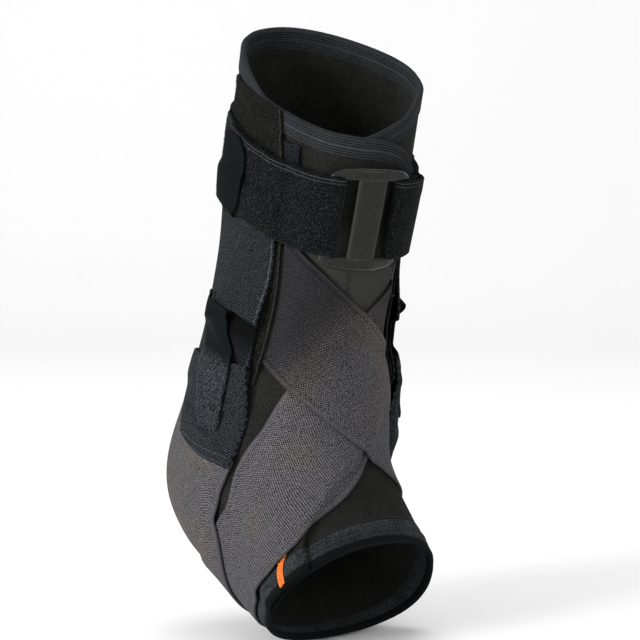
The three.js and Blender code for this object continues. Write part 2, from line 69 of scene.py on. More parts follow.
CAD_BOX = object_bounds()
MM = 0.001
SHIN_LEAN = math.radians(12)
FOOT_PITCH = math.radians(22)
HEEL_CENTRE = 0.63  # v of the open heel's middle
SEAM_SAMPLES = 400
SEAM_RISE = 0.2  # how far a stitch's middle lies over its cloth, as a share of its thickness
TOE_LEVEL = 0.95  # v at which lengths down the limb are turned into v near the toes
SIDES = (("lateral", 1), ("medial", -1))
ADVANCE_SPAN = (0.2, 0.42)  # v between which the inner side's panels come forward


def table(columns, *rows):
    """Rows of numbers as named columns."""
    return dict(zip(columns.split(), np.array(rows, float).T))


# Sections of the limb from the rim to the toes, as shares of the shaft's or the foot's sizes.
FORM = table(
    "v shaft front_up front_out back_up back_out half egg power",
    (0.00, 1, 1.000, 0.465, 1.000, 0.520, 0.490, 0.00, 2.00),
    (0.15, 1, 0.773, 0.465, 0.747, 0.510, 0.486, 0.00, 2.00),
    (0.30, 1, 0.533, 0.440, 0.453, 0.471, 0.465, 0.03, 2.00),
    (0.42, 1, 0.287, 0.420, 0.240, 0.471, 0.486, 0.06, 2.00),
    (0.52, 0, 0.282, 0.549, -0.113, -0.634, 0.430, 0.06, 2.10),
    (0.62, 0, 0.113, 0.676, -0.648, -0.620, 0.413, 0.00, 2.15),
    (0.72, 0, 0.042, 0.760, -0.930, -0.282, 0.401, -0.06, 2.20),
    (0.80, 0, -0.028, 0.824, -0.986, 0.197, 0.419, -0.12, 2.25),
    (0.90, 0, -0.141, 0.901, -1.000, 0.592, 0.459, -0.15, 2.30),
    (1.00, 0, -0.282, 1.000, -0.972, 0.887, 0.500, -0.18, 2.30),
)

# Top edge of the wrap: share of the girth gone round from the front by the inner side, and v.
RIM_LINE = table(
    "turn v",
    (-0.14, 0.084), (-0.05, 0.068), (0.0, 0.045), (0.045, 0.026), (0.085, 0.0), (0.16, -0.02),
    (0.3, -0.04), (0.5, -0.05), (0.64, -0.03), (0.71, 0.002), (0.75, 0.026), (0.8, 0.042),
    (0.85, 0.056), (0.93, 0.066), (0.98, 0.07), (1.02, 0.084), (1.062, 0.122),
)

# Free edge of the outer flap from the rim to the toes.
FLAP_EDGE = table(
    "v u",
    (0.0, -0.06), (0.3, -0.062), (0.42, -0.05), (0.55, 0.0), (0.68, 0.045), (0.78, 0.095),
    (0.88, 0.15), (1.0, 0.172),
)

# Centre lines of the two elastic straps, from the ankle's side over the front and under the sole to the heel.
UPPER_PATH = table(
    "u v",
    (0.215, 0.315), (0.14, 0.365), (0.05, 0.425), (-0.03, 0.49), (-0.12, 0.6), (-0.22, 0.7),
    (-0.34, 0.785), (-0.5, 0.815), (-0.62, 0.77), (-0.685, 0.68), (-0.715, 0.6), (-0.73, 0.548),
)
LOWER_PATH = table(
    "u v",
    (-0.215, 0.315), (-0.14, 0.365), (-0.05, 0.43), (0.046, 0.513), (0.111, 0.632), (0.197, 0.762),
    (0.274, 0.816), (0.37, 0.838), (0.5, 0.838), (0.615, 0.78), (0.705, 0.69), (0.76, 0.6),
    (0.78, 0.548),
)

# Panels of the outer side from top to bottom: front edge, slant to the back edge, share of the width.
LOOP_PANEL = table(
    "v u slant width",
    (0.036, 0.205, -0.03, 0.8), (0.13, 0.188, -0.02, 0.95), (0.28, 0.17, -0.01, 1.0),
    (0.385, 0.161, 0.0, 1.0), (0.428, 0.166, 0.0, 1.0), (0.47, 0.179, 0.0, 0.9),
)
SIDE_BAND = table(
    "v u slant width",
    (0.19, 0.192, -0.02, 0.9), (0.3, 0.179, -0.01, 0.95), (0.41, 0.183, 0.0, 1.0), (0.5, 0.192, 0.0, 0.95),
)
HOOK_END = table(
    "v u slant width",
    (0.448, 0.188, 0.005, 0.98), (0.51, 0.186, -0.015, 1.0), (0.567, 0.2, -0.03, 0.98),
    (0.612, 0.214, -0.055, 0.9),
)
INNER_HOOK_END = table(
    "v u slant width",
    (0.448, 0.188, 0.005, 0.98), (0.54, 0.186, -0.02, 1.0), (0.62, 0.195, -0.04, 0.98),
    (0.69, 0.207, -0.06, 0.9),
)
HOOK_ENDS = {"lateral": HOOK_END, "medial": INNER_HOOK_END}
PULL_TAB = table(
    "v u slant width",
    (0.376, 0.234, -0.02, 1.0), (0.405, 0.237, -0.015, 0.9), (0.432, 0.22, -0.01, 1.0),
    (0.47, 0.218, 0.0, 0.85), (0.515, 0.225, 0.0, 0.66), (0.54, 0.231, -0.005, 0.5),
)
KEEPER = table("v u slant width", (0.094, 0.164, -0.006, 1.0), (0.175, 0.158, -0.006, 1.0))
MARK = table(
    "v u slant width",
    (0.9, 0.186, 0.002, 0.8), (0.95, 0.208, 0.002, 1.0), (0.998, 0.217, 0.002, 0.8),
)
CUFF_TAB = table(
    "v u slant width",
    (0.1, 0.27, -0.004, 0.5), (0.118, 0.256, -0.008, 0.86), (0.15, 0.25, -0.01, 1.0),
    (0.19, 0.25, -0.01, 1.0), (0.215, 0.256, -0.008, 0.86), (0.23, 0.268, -0.004, 0.5),
)

# Upper edge of the cuff strap round the shaft.
CUFF_LINE = table(
    "u v",
    (0.0, 0.135), (0.1, 0.133), (0.15, 0.129), (0.2, 0.119), (0.25, 0.105), (0.3, 0.086),
    (0.4, 0.067), (0.5, 0.062),
)


def direction(turn, height):
    """Unit vector away from the origin, at angles in radians round it and up."""
    level = math.cos(height)
    return Vector((math.sin(turn) * level, -math.cos(turn) * level, math.sin(height)))


def length(name, description, default):
    """A size of the brace in metres."""
    return FloatProperty(name=name, description=description, default=default, min=0.0, unit="LENGTH")


def colour(name, description, *default):
    """A colour of the brace, in linear light."""
    return FloatVectorProperty(
        name=name, description=description, default=default, subtype="COLOR", min=0.0, max=1.0
    )


class BraceSizes(bpy.types.PropertyGroup):
    """Real sizes of the brace."""

    shaft_height: length("Shaft height", "Ankle centre to the top of the shaft, along the shin", 0.165)
    shaft_depth: length("Shaft depth", "Front to back of the shaft", 0.086)
    shaft_width: length("Shaft width", "Side to side of the shaft", 0.078)
    foot_height: length("Foot height", "Ankle centre to the sole", 0.078)
    foot_reach: length("Foot reach", "Ankle centre to the front edge, along the foot", 0.079)
    foot_width: length("Foot width", "Side to side of the foot", 0.0945)
    wrap_wall: length("Wrap wall", "Thickness of the knitted wrap", 0.0024)
    binding_proud: length("Binding", "How far the edge bands stand out from the wrap", 0.0005)
    rim_band: length("Rim band", "Width of the band along the top edge", 0.008)
    forefoot_band: length("Forefoot band", "Width of the band along the toe edge", 0.0095)
    flap_overlap: length("Flap overlap", "How far the outer flap lies over the inner one", 0.03)
    heel_width: length("Heel opening width", "Width of the open heel", 0.058)
    heel_length: length("Heel opening length", "Length of the open heel", 0.076)
    elastic_width: length("Elastic width", "Width of the two elastic straps", 0.048)
    elastic: length("Elastic", "Thickness of the two elastic straps", 0.0014)
    loop_panel_width: length("Loop panel width", "Width of the brushed side panels", 0.044)
    loop_panel: length("Loop panel", "Thickness of the brushed side panels", 0.0011)
    side_band_width: length("Side band width", "Width of the ribbed side bands", 0.039)
    side_band: length("Side band", "Thickness of the ribbed side bands", 0.0014)
    hook_end_width: length("Hook end width", "Width of the stirrups' hook ends", 0.042)
    hook_end: length("Hook end", "Thickness of the stirrups' hook ends", 0.0014)
    pull_tab_width: length("Pull tab width", "Width of the pull tabs", 0.02)
    pull_tab: length("Pull tab", "Thickness of the pull tabs", 0.0013)
    inner_advance: length("Inner advance", "How far the inner side's panels lie nearer the front", 0.014)
    keeper_width: length("Keeper width", "Width of the keeper tab", 0.0085)
    mark_width: length("Mark width", "Width of the orange stitching", 0.0028)
    cuff_width: length("Cuff width", "Width of the cuff strap", 0.0345)
    cuff: length("Cuff", "Thickness of the cuff strap", 0.0017)
    cuff_tail: length("Cuff tail", "How far the cuff strap comes back over itself", 0.05)
    anchor_tail: length("Anchor tail", "The same for the strap that holds the ring", 0.042)
    cuff_tab_width: length("Cuff tab width", "Width of the cuff strap's end tab", 0.02)
    ring_centre: length("Ring centre", "From the front centre line to the ring's middle", 0.01)
    ring_width: length("Ring width", "Width of the ring", 0.0295)
    ring: length("Ring", "Thickness of the ring", 0.0022)
    ring_rail: length("Ring rail", "Height of the ring's top and bottom bars", 0.004)
    ring_post: length("Ring post", "Width of the ring's outer bars", 0.0032)
    ring_bridge: length("Ring bridge", "Width of the bar between the slots", 0.01)
    slot_clearance: length("Slot clearance", "Room beside a strap in its slot", 0.0005)
    layer_gap: length("Layer gap", "Between one layer and the next", 0.0003)


class BraceColours(bpy.types.PropertyGroup):
    """Colours of the brace's finishes."""

    wrap: colour("Wrap", "Knitted wrap", 0.0155, 0.0155, 0.0145)
    trim: colour("Trim", "Edge bands", 0.0142, 0.0156, 0.0175)
    elastic: colour("Elastic", "Light threads of the elastic straps", 0.135, 0.13, 0.131)
    elastic_gap: colour("Elastic gaps", "Gaps between those threads", 0.008, 0.008, 0.009)
    pile: colour("Pile", "Brushed loop pile", 0.002, 0.0023, 0.0025)
    pile_tip: colour("Pile tips", "Light tips of the pile", 0.06, 0.064, 0.066)
    band: colour("Band", "Ribbed side bands", 0.003, 0.0038, 0.005)
    band_rib: colour("Band ribs", "Raised threads of the side bands", 0.09, 0.105, 0.119)
    tab: colour("Tab", "Smooth tabs", 0.0013, 0.0026, 0.003)
    ring: colour("Ring", "Moulded ring", 0.004, 0.0042, 0.0036)
    thread: colour("Thread", "Sewing thread", 0.03, 0.033, 0.038)
    velour: colour("Velour", "Brushed side panels", 0.0085, 0.0083, 0.0075)
    mark: colour("Mark", "Orange stitching", 0.72, 0.155, 0.014)
    floor: colour("Floor", "Floor and backdrop", 0.95, 0.95, 0.95)


def smooth(knots, values, x):
    """Cubic through the knots, with each tangent worked out from the neighbouring slopes."""
    gaps = np.diff(knots)
    slopes = np.diff(values) / gaps
    inner = (gaps[1:] * slopes[:-1] + gaps[:-1] * slopes[1:]) / (gaps[1:] + gaps[:-1])
    tangents = np.concatenate([slopes[:1], inner, slopes[-1:]])
    x = np.asarray(x, float)
    k = np.clip(np.searchsorted(knots, x, side="right") - 1, 0, len(knots) - 2)
    t = (x - knots[k]) / gaps[k]
    late = 3 * t**2 - 2 * t**3
    bend = (t**3 - 2 * t**2 + t) * tangents[k] + (t**3 - t**2) * tangents[k + 1]
    return (1 - late) * values[k] + late * values[k + 1] + gaps[k] * bend


def step(x, low, high):
    """0 below low, 1 above high, and a smooth rise between."""
    t = np.clip((x - low) / (high - low), 0, 1)
    return t * t * (3 - 2 * t)


def unit(vectors):
    return vectors / np.maximum(np.linalg.norm(vectors, axis=-1, keepdims=True), 1e-12)


class Limb:
    """The limb: front and back lines in the middle plane, joined by rounded sections.

    A point at u, v is a blend of the front and the back line by the squared-off cosine of u's angle, and
    the half width times its squared-off sine to the side.
    """

    small = 0.002

    def __init__(self, sizes):
        shaft = FORM["shaft"] > 0
        angle = np.where(shaft, SHIN_LEAN, FOOT_PITCH)
        tall = np.where(shaft, sizes.shaft_height, sizes.foot_height)
        deep = np.where(shaft, sizes.shaft_depth, sizes.foot_reach)
        behind = np.where(shaft, -FORM["back_out"], FORM["back_out"])

        def point(up, out):
            ahead = up * tall * np.sin(angle) + out * deep * np.cos(angle)
            high = up * tall * np.cos(angle) - out * deep * np.sin(angle)
            return ahead, high

        front = point(FORM["front_up"], FORM["front_out"])
        back = point(FORM["back_up"], behind)
        half = FORM["half"] * np.where(shaft, sizes.shaft_width, sizes.foot_width)
        self.columns = [*front, *back, half, FORM["egg"], FORM["power"]]

    def at(self, u, v):
        columns = [smooth(FORM["v"], column, v) for column in self.columns]
        front_ahead, front_high, back_ahead, back_high, half, egg, power = columns

        def squared(x):
            return np.sign(x) * np.abs(x) ** (2 / power)

        c = squared(np.cos(2 * np.pi * u))
        s = squared(np.sin(2 * np.pi * u))
        ahead = (front_ahead * (1 + c) + back_ahead * (1 - c)) / 2
        high = (front_high * (1 + c) + back_high * (1 - c)) / 2
        return np.stack([-half * s * (1 + egg * c), -ahead, high], -1)

    def tangents(self, u, v):
        """Movement for a unit of u and of v, and the outward normal."""
        e = self.small
        along_u = (self.at(u + e, v) - self.at(u - e, v)) / (2 * e)
        along_v = (self.at(u, v + e) - self.at(u, v - e)) / (2 * e)
        return along_u, along_v, unit(np.cross(along_u, along_v))

    def normal(self, u, v):
        return self.tangents(u, v)[2]

    def place(self, u, v, height):
        return self.at(u, v) + self.normal(u, v) * np.asarray(height)[..., None]

    def per_u(self, u, v):
        return np.linalg.norm(self.tangents(u, v)[0], axis=-1)

    def per_v(self, u, v):
        return np.linalg.norm(self.tangents(u, v)[1], axis=-1)


class Layers:
    """Height of the topmost layer over the limb, on a grid of u and v, so that each new layer lies on it."""

    across, down = 900, 900
    v_low, v_high = -0.08, 1.04

    def __init__(self):
        self.top = np.zeros((self.down, self.across))

    def cells(self, u, v):
        x = np.asarray(u, float) % 1.0 * self.across
        y = (np.asarray(v, float) - self.v_low) / (self.v_high - self.v_low) * (self.down - 1)
        return x, np.clip(y, 0, self.down - 1)

    def lay(self, u, v, height, fine=4):
        """Marks a piece's top face, spread to every cell that it covers."""
        u, v, height = (spread(grid, fine) for grid in (u, v, height))
        x, y = self.cells(u, v)
        place = np.rint(y).astype(int), np.rint(x).astype(int) % self.across
        np.maximum.at(self.top, place, height)

    def softened(self, reach, ease):
        """The heights as a cloth would bridge them: the highest within reach cells, then evened over ease."""
        field = self.top
        for axis in (0, 1):
            field = np.max([shifted(field, k, axis) for k in range(-reach, reach + 1)], axis=0)
        for axis in (0, 1, 0, 1):
            field = np.mean([shifted(field, k, axis) for k in range(-ease, ease + 1)], axis=0)
        return field

    def under(self, u, v, reach=7, ease=3):
        """Height of what a piece at u, v rests on."""
        field = self.softened(reach, ease)
        x, y = self.cells(u, v)
        x0, y0 = np.floor(x).astype(int), np.minimum(np.floor(y).astype(int), self.down - 2)
        fx, fy = x - x0, y - y0
        x0, x1 = x0 % self.across, (x0 + 1) % self.across
        upper = field[y0, x0] * (1 - fx) + field[y0, x1] * fx
        lower = field[y0 + 1, x0] * (1 - fx) + field[y0 + 1, x1] * fx
        return upper * (1 - fy) + lower * fy


def shifted(field, cells, axis):
    """The grid moved by some cells: round the limb it wraps, down the limb its edge rows are repeated."""
    if axis == 1:
        return np.roll(field, cells, axis=1)
    rows = np.clip(np.arange(field.shape[0]) - cells, 0, field.shape[0] - 1)
    return field[rows]


def spread(grid, times):
    """A grid of numbers with straight steps put between its rows and columns."""
    for axis in (0, 1):
        count = grid.shape[axis]
        wanted = np.linspace(0, count - 1, (count - 1) * times + 1)
        low = np.minimum(wanted.astype(int), count - 2)
        share = wanted - low
        share = share[:, None] if axis == 0 else share[None, :]
        grid = np.take(grid, low, axis) * (1 - share) + np.take(grid, low + 1, axis) * share
    return grid


class Work:
    """What the pieces share while the brace is built."""

    limb = None
    layers = None
    finishes = {}


def sizes():
    return bpy.context.scene.brace_sizes


def colours():
    return bpy.context.scene.brace_colours


def grid_faces(rows, columns, keep=None):
    """Corners of a lattice's cells, counted row by row, seen from outside."""
    j, i = np.meshgrid(np.arange(rows - 1), np.arange(columns - 1), indexing="ij")
    if keep is not None:
        j, i = j[keep], i[keep]
    first = (j * columns + i).ravel()
    return np.stack([first, first + 1, first + columns + 1, first + columns], 1)


def facing_out(faces, top, out):
    """The cells turned round if the lattice's first one looks against the given outward directions."""
    cell = np.cross(top[0, 1] - top[0, 0], top[1, 0] - top[0, 0])
    return faces[:, ::-1] if (cell * out[0, 0]).sum() < 0 else faces


def new_object(name, points, faces, uv=None, attributes=None):
    """A mesh object at the origin. faces is an array or several arrays of corner numbers."""
    mesh = bpy.data.meshes.new(name)
    groups = faces if isinstance(faces, list) else [faces]
    loops = np.concatenate([group.ravel() for group in groups])
    counts = np.concatenate([np.full(len(group), group.shape[1]) for group in groups])
    mesh.vertices.add(len(points))
    mesh.vertices.foreach_set("co", np.asarray(points, np.float32).ravel())
    mesh.loops.add(len(loops))
    mesh.loops.foreach_set("vertex_index", loops.astype(np.int32))
    mesh.polygons.add(len(counts))
    starts = np.concatenate([[0], np.cumsum(counts)[:-1]]).astype(np.int32)
    mesh.polygons.foreach_set("loop_start", starts)
    mesh.update(calc_edges=True)
    mesh.validate()
    if uv is not None:
        layer = mesh.uv_layers.new(name="cloth")
        corner = np.empty(len(mesh.loops), np.int32)
        mesh.loops.foreach_get("vertex_index", corner)
        layer.data.foreach_set("uv", np.asarray(uv, np.float32)[corner].ravel())
    for key, values in (attributes or {}).items():
        attribute = mesh.attributes.new(key, "FLOAT", "POINT")
        attribute.data.foreach_set("value", np.asarray(values, np.float32))
    mesh.shade_smooth()
    made = bpy.data.objects.new(name, mesh)
    bpy.context.scene.collection.objects.link(made)
    return made


def closed_sheet(name, top, bottom, faces, uv, attributes):
    """A wall between two faces with the same corners.

    Its open borders are closed by a round edge: a middle row stands out by half the wall, square to the
    border and to the wall.
    """
    starts = np.concatenate([faces[:, k] for k in range(4)])
    ends = np.concatenate([faces[:, (k + 1) % 4] for k in range(4)])
    count = len(top)
    forward = starts.astype(np.int64) * count + ends
    border = ~np.isin(forward, ends.astype(np.int64) * count + starts)
    starts, ends = starts[border], ends[border]
    wall = top - bottom
    outward = np.zeros_like(top)
    side = unit(np.cross(top[ends] - top[starts], wall[starts]))
    np.add.at(outward, starts, side)
    np.add.at(outward, ends, side)
    rim = np.unique(np.concatenate([starts, ends]))
    thick = np.linalg.norm(wall[rim], axis=1, keepdims=True)
    middle = (top[rim] + bottom[rim]) / 2 + unit(outward[rim]) * thick / 2
    number = np.zeros(count, int)
    number[rim] = np.arange(len(rim)) + 2 * count
    walls = [
        np.stack([ends, starts, number[starts], number[ends]], 1),
        np.stack([number[ends], number[starts], starts + count, ends + count], 1),
    ]
    points = np.concatenate([top, bottom, middle])
    every = np.concatenate([faces, (faces + count)[:, ::-1], *walls])
    carried = {key: np.concatenate([values, values, values[rim]]) for key, values in attributes.items()}
    return new_object(name, points, every, np.concatenate([uv, uv, uv[rim]]), carried)


def run_lengths(points):
    """Lengths along a lattice's rows and columns, in millimetres."""
    down = np.linalg.norm(np.diff(points, axis=0), axis=-1)
    over = np.linalg.norm(np.diff(points, axis=1), axis=-1)
    along = np.concatenate([np.zeros((1, points.shape[1])), np.cumsum(down, 0)])
    across = np.concatenate([np.zeros((points.shape[0], 1)), np.cumsum(over, 1)], 1)
    return across / MM, along / MM


def strap_lattice(path, width, rows, columns):
    """u and v over a strap: its centre line runs through the path's knots, and its columns are reached by
    walking over the limb square to that line, in equal steps to both sides."""
    limb = Work.limb
    knots = np.arange(len(path["u"]), dtype=float)
    t = np.linspace(0, knots[-1], 1200)
    fine = limb.at(smooth(knots, path["u"], t), smooth(knots, path["v"], t))
    run = np.concatenate([[0], np.cumsum(np.linalg.norm(np.diff(fine, axis=0), axis=-1))])
    t = np.interp(np.linspace(0, run[-1], rows), run, t)
    u, v = smooth(knots, path["u"], t), smooth(knots, path["v"], t)
    heading = np.gradient(limb.at(u, v), axis=0)
    lines = {0: (u, v)}
    middle = columns // 2
    for side in (-1, 1):
        x, y = u, v
        for k in range(1, middle + 1):
            along_u, along_v, normal = limb.tangents(x, y)
            square = unit(np.cross(normal, heading)) * side * width / (columns - 1)
            a, b, c = ((along_u * along_u).sum(-1), (along_u * along_v).sum(-1), (along_v * along_v).sum(-1))
            p, q = (square * along_u).sum(-1), (square * along_v).sum(-1)
            x = x + (c * p - b * q) / (a * c - b * b)
            y = y + (a * q - b * p) / (a * c - b * b)
            lines[side * k] = (x, y)
    order = sorted(lines)
    return np.stack([lines[k][0] for k in order], 1), np.stack([lines[k][1] for k in order], 1)


def inner_shift(v, girth, side):
    """How far in u the inner side's panels come forward at v; the outer side's stay."""
    return sizes().inner_advance * step(v, *ADVANCE_SPAN) / girth * (side < 0)


def panel_lattice(panel, width, side, rows, columns):
    """u and v over a panel between its front and back edges; side is 1 on the outer side and -1 inside."""
    v = np.linspace(panel["v"][0], panel["v"][-1], rows)
    u, slant, share = (smooth(panel["v"], panel[key], v) for key in ("u", "slant", "width"))
    girth = Work.limb.per_u(u, v)
    wide = width * share / girth
    ahead = inner_shift(v, girth, side)
    s = np.linspace(0, 1, columns)[None, :]
    return side * (u[:, None] + wide[:, None] * s) + ahead[:, None], v[:, None] + slant[:, None] * s


def lay_cloth(
    name, node, finish, u, v, thickness, side=1, lift=0.0, drape=(7, 3), attributes=None
):
    """One cloth piece on what is laid already.

    Its lower face lies a gap above the layers under it, its upper face a thickness higher. side is -1 where
    the lattice is mirrored. Returns its upper face's lattice and normals.
    """
    limb = Work.limb
    height = Work.layers.under(u, v, *drape) + sizes().layer_gap + lift
    normal = limb.normal(u, v)
    base = limb.at(u, v)
    bottom = base + normal * height[..., None]
    top = bottom + normal * thickness
    across, along = run_lengths(top)
    edge = np.minimum(across, across[:, -1:] - across)
    hem = np.minimum(edge, np.minimum(along, along[-1:] - along))
    faces = facing_out(grid_faces(*u.shape), top, normal)
    uv = np.stack([across * side, along], -1).reshape(-1, 2)
    made = closed_sheet(
        name + "_cloth",
        top.reshape(-1, 3),
        bottom.reshape(-1, 3),
        faces,
        uv,
        {
            "edge": edge.ravel(),
            "hem": hem.ravel(),
            **{key: values.ravel() for key, values in (attributes or {}).items()},
        },
    )
    Work.layers.lay(u, v, height + thickness)
    finish_piece(made, finish, node)
    return top, normal


def finish_piece(made, finish, node=None):
    """Gives a piece its material, its body and the node that it stands for, if there is one."""
    made.data.materials.append(Work.finishes[finish])
    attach(made, "root")
    if node:
        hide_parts(node)


def tufts(name, finish, top, normal, density, size, seed, within=(0.0, 1.0)):
    """Loose ends of a brushed pile, as one mesh of short bent ribbons.

    Each starts at a random place of the lattice, rises along the normal and leans to a random side, about
    three times as far at its tip as half way. within is the share of the width that has pile, density the
    tufts on a square millimetre.
    """
    rng = np.random.default_rng(seed)
    rows, columns = top.shape[:2]
    across, along = run_lengths(top)
    area = across[:, -1].mean() * along[-1].mean()
    count = int(area * density)
    y, x = rng.uniform(0, rows - 1.001, count), rng.uniform(0, columns - 1.001, count)
    across_share = x / (columns - 1)
    kept = (across_share >= within[0]) & (across_share <= within[1])
    y, x = y[kept], x[kept]
    count = len(y)
    j, i = y.astype(int), x.astype(int)
    fy, fx = (y - j)[:, None], (x - i)[:, None]

    def sample(grid):
        upper = grid[j, i] * (1 - fx) + grid[j, i + 1] * fx
        lower = grid[j + 1, i] * (1 - fx) + grid[j + 1, i + 1] * fx
        return upper * (1 - fy) + lower * fy

    root, out = sample(top), unit(sample(normal))
    lean = rng.normal(size=(count, 3))
    lean = unit(lean - (lean * out).sum(-1, keepdims=True) * out)
    side = np.cross(lean, out)
    tall = size * rng.uniform(0.5, 1.3, (count, 1))
    half_way = root + out * tall * 0.55 + lean * tall * 0.3
    tip = root + out * tall * rng.uniform(0.35, 0.75, (count, 1)) + lean * tall * 0.95
    width = side * size * 0.09
    sunk = root - out * size * 0.1
    points = np.stack([sunk - width, sunk + width, half_way - width, half_way + width, tip], 1).reshape(-1, 3)
    first = np.arange(count)[:, None] * 5
    quads = first + np.array([[0, 1, 3, 2]])
    tips = first + np.array([[2, 3, 4]])
    shade = np.repeat(rng.uniform(0, 1, count), 5)
    finish_piece(new_object(name, points, [quads, tips], attributes={"shade": shade}), finish)


def stitches(name, finish, centres, headings, normals, long, thick):
    """A run of stitches as one mesh: each a six-sided grain that swells from its ends to its middle."""
    count = len(centres)
    headings, normals = unit(headings), unit(normals)
    sides = np.cross(headings, normals)
    stations = np.array([-0.5, -0.38, 0.0, 0.38, 0.5])
    swell = np.array([0.25, 0.8, 1.0, 0.8, 0.25])
    turn = np.arange(6) * np.pi / 3
    ring = swell[:, None, None] * np.stack([np.cos(turn), np.sin(turn)], -1)[None]
    points = (
        centres[:, None, None]
        + headings[:, None, None] * (stations * long)[None, :, None, None]
        + sides[:, None, None] * (ring[None, ..., :1] * thick / 2)
        + normals[:, None, None] * (ring[None, ..., 1:] * thick / 2)
    ).reshape(-1, 3)
    j, i = np.meshgrid(np.arange(4), np.arange(6), indexing="ij")
    j, i = j.ravel(), i.ravel()
    after = (i + 1) % 6
    one = np.stack([j * 6 + i, (j + 1) * 6 + i, (j + 1) * 6 + after, j * 6 + after], 1)
    caps = np.array([[0, 1, 2, 3, 4, 5], [29, 28, 27, 26, 25, 24]])
    first = np.arange(count)[:, None, None] * 30
    quads = (first + one[None]).reshape(-1, 4)
    ends = (first + caps[None]).reshape(-1, 6)
    finish_piece(new_object(name, points, [quads, ends]), finish)


def stitch_line(
    name, us, vs, finish="thread", pitch=2.4 * MM, long=1.7 * MM, thick=0.45 * MM, zigzag=0.0,
):
    """Stitches through places given as u and v, lying on whatever is there. zigzag is how far each one swings
    to either side of the line."""
    limb = Work.limb
    knots = np.arange(len(us), dtype=float)
    t = np.linspace(0, knots[-1], SEAM_SAMPLES)
    u, v = smooth(knots, np.array(us, float), t), smooth(knots, np.array(vs, float), t)
    height = Work.layers.under(u[:, None], v[:, None], 1, 1)[:, 0] + thick * SEAM_RISE
    line = limb.place(u, v, height)
    run = np.concatenate([[0], np.cumsum(np.linalg.norm(np.diff(line, axis=0), axis=-1))])
    wanted = np.arange(pitch / 2, run[-1], pitch)
    spots = [np.interp(wanted, run, values) for values in (u, v, height)]
    centres = limb.place(*spots)
    normals = limb.normal(spots[0], spots[1])
    headings = unit(np.gradient(centres, axis=0))
    if zigzag:
        sides = np.cross(headings, normals)
        swing = np.where(np.arange(len(centres)) % 2, 1.0, -1.0)[:, None]
        headings = unit(headings * pitch + sides * swing * zigzag)
    stitches(name, finish, centres, headings, normals, long, thick)


class Field:
    """A number that varies over a surface. Arithmetic on it adds Math nodes."""

    def __init__(self, tree, socket):
        self.tree, self.socket = tree, socket

    def math(self, operation, *others):
        node = self.tree.nodes.new("ShaderNodeMath")
        node.operation = operation
        for slot, value in zip(node.inputs, (self, *others)):
            if isinstance(value, Field):
                self.tree.links.new(value.socket, slot)
            else:
                slot.default_value = value
        return Field(self.tree, node.outputs[0])

    def __add__(self, other):
        return self.math("ADD", other)

    def __sub__(self, other):
        return self.math("SUBTRACT", other)

    def __mul__(self, other):
        return self.math("MULTIPLY", other)

    def __truediv__(self, other):
        return self.math("DIVIDE", other)

    __radd__ = __add__
    __rmul__ = __mul__

    def wave(self, phase=0.0):
        """From 0 to 1 and back once for each whole number."""
        return (self * (2 * math.pi) + phase).math("SINE") * 0.5 + 0.5

    def between(self, low, high):
        """0 below low and 1 above high."""
        node = self.tree.nodes.new("ShaderNodeMapRange")
        node.interpolation_type = "SMOOTHSTEP"
        self.tree.links.new(self.socket, node.inputs["Value"])
        node.inputs["From Min"].default_value = low
        node.inputs["From Max"].default_value = high
        return Field(self.tree, node.outputs[0])

    def beyond(self, low, high):
        """1 below low and 0 above high."""
        return self.between(low, high) * -1.0 + 1.0


class Finish:
    """One material: its places in millimetres, its noises, and its shader."""

    def __init__(self, name, roughness, sheen=0.0, specular=0.5):
        self.material = bpy.data.materials.new(name)
        self.material.use_nodes = True
        self.tree = self.material.node_tree
        self.shader = self.tree.nodes["Principled BSDF"]
        self.shader.inputs["Roughness"].default_value = roughness
        self.shader.inputs["Sheen Weight"].default_value = sheen
        self.shader.inputs["Sheen Roughness"].default_value = 0.5
        self.shader.inputs["Specular IOR Level"].default_value = specular
        Work.finishes[name] = self.material

    def field(self, socket):
        return Field(self.tree, socket)

    def cloth(self):
        """Millimetres across and along the piece."""
        node = self.tree.nodes.new("ShaderNodeUVMap")
        node.uv_map = "cloth"
        apart = self.tree.nodes.new("ShaderNodeSeparateXYZ")
        self.tree.links.new(node.outputs[0], apart.inputs[0])
        return self.field(apart.outputs[0]), self.field(apart.outputs[1])

    def attribute(self, name):
        node = self.tree.nodes.new("ShaderNodeAttribute")
        node.attribute_name = name
        return self.field(node.outputs["Fac"])

    def noise(self, size, detail=2.0, rough=0.6):
        """Noise whose lumps measure about size millimetres, in the piece's own place."""
        place = self.tree.nodes.new("ShaderNodeTexCoord")
        node = self.tree.nodes.new("ShaderNodeTexNoise")
        node.inputs["Scale"].default_value = 1 / (size * MM)
        node.inputs["Detail"].default_value = detail
        node.inputs["Roughness"].default_value = rough
        self.tree.links.new(place.outputs["Object"], node.inputs["Vector"])
        return self.field(node.outputs["Fac"])

    def mix(self, share, low, high):
        """A colour between two, each an RGB triple or a socket."""
        node = self.tree.nodes.new("ShaderNodeMix")
        node.data_type = "RGBA"
        node.clamp_factor = True
        self.tree.links.new(share.socket, node.inputs["Factor"])
        for name, value in (("A", low), ("B", high)):
            slot = [s for s in node.inputs if s.name == name and s.type == "RGBA"][0]
            if isinstance(value, bpy.types.NodeSocket):
                self.tree.links.new(value, slot)
            else:
                slot.default_value = (*value, 1.0)
        return [s for s in node.outputs if s.type == "RGBA"][0]

    def paint(self, colour_socket):
        self.tree.links.new(colour_socket, self.shader.inputs["Base Color"])

    def relief(self, height, depth):
        """Bump of the given depth in millimetres for a height from 0 to 1."""
        node = self.tree.nodes.new("ShaderNodeBump")
        node.inputs["Strength"].default_value = 1.0
        node.inputs["Distance"].default_value = depth * MM
        self.tree.links.new(height.socket, node.inputs["Height"])
        self.tree.links.new(node.outputs[0], self.shader.inputs["Normal"])


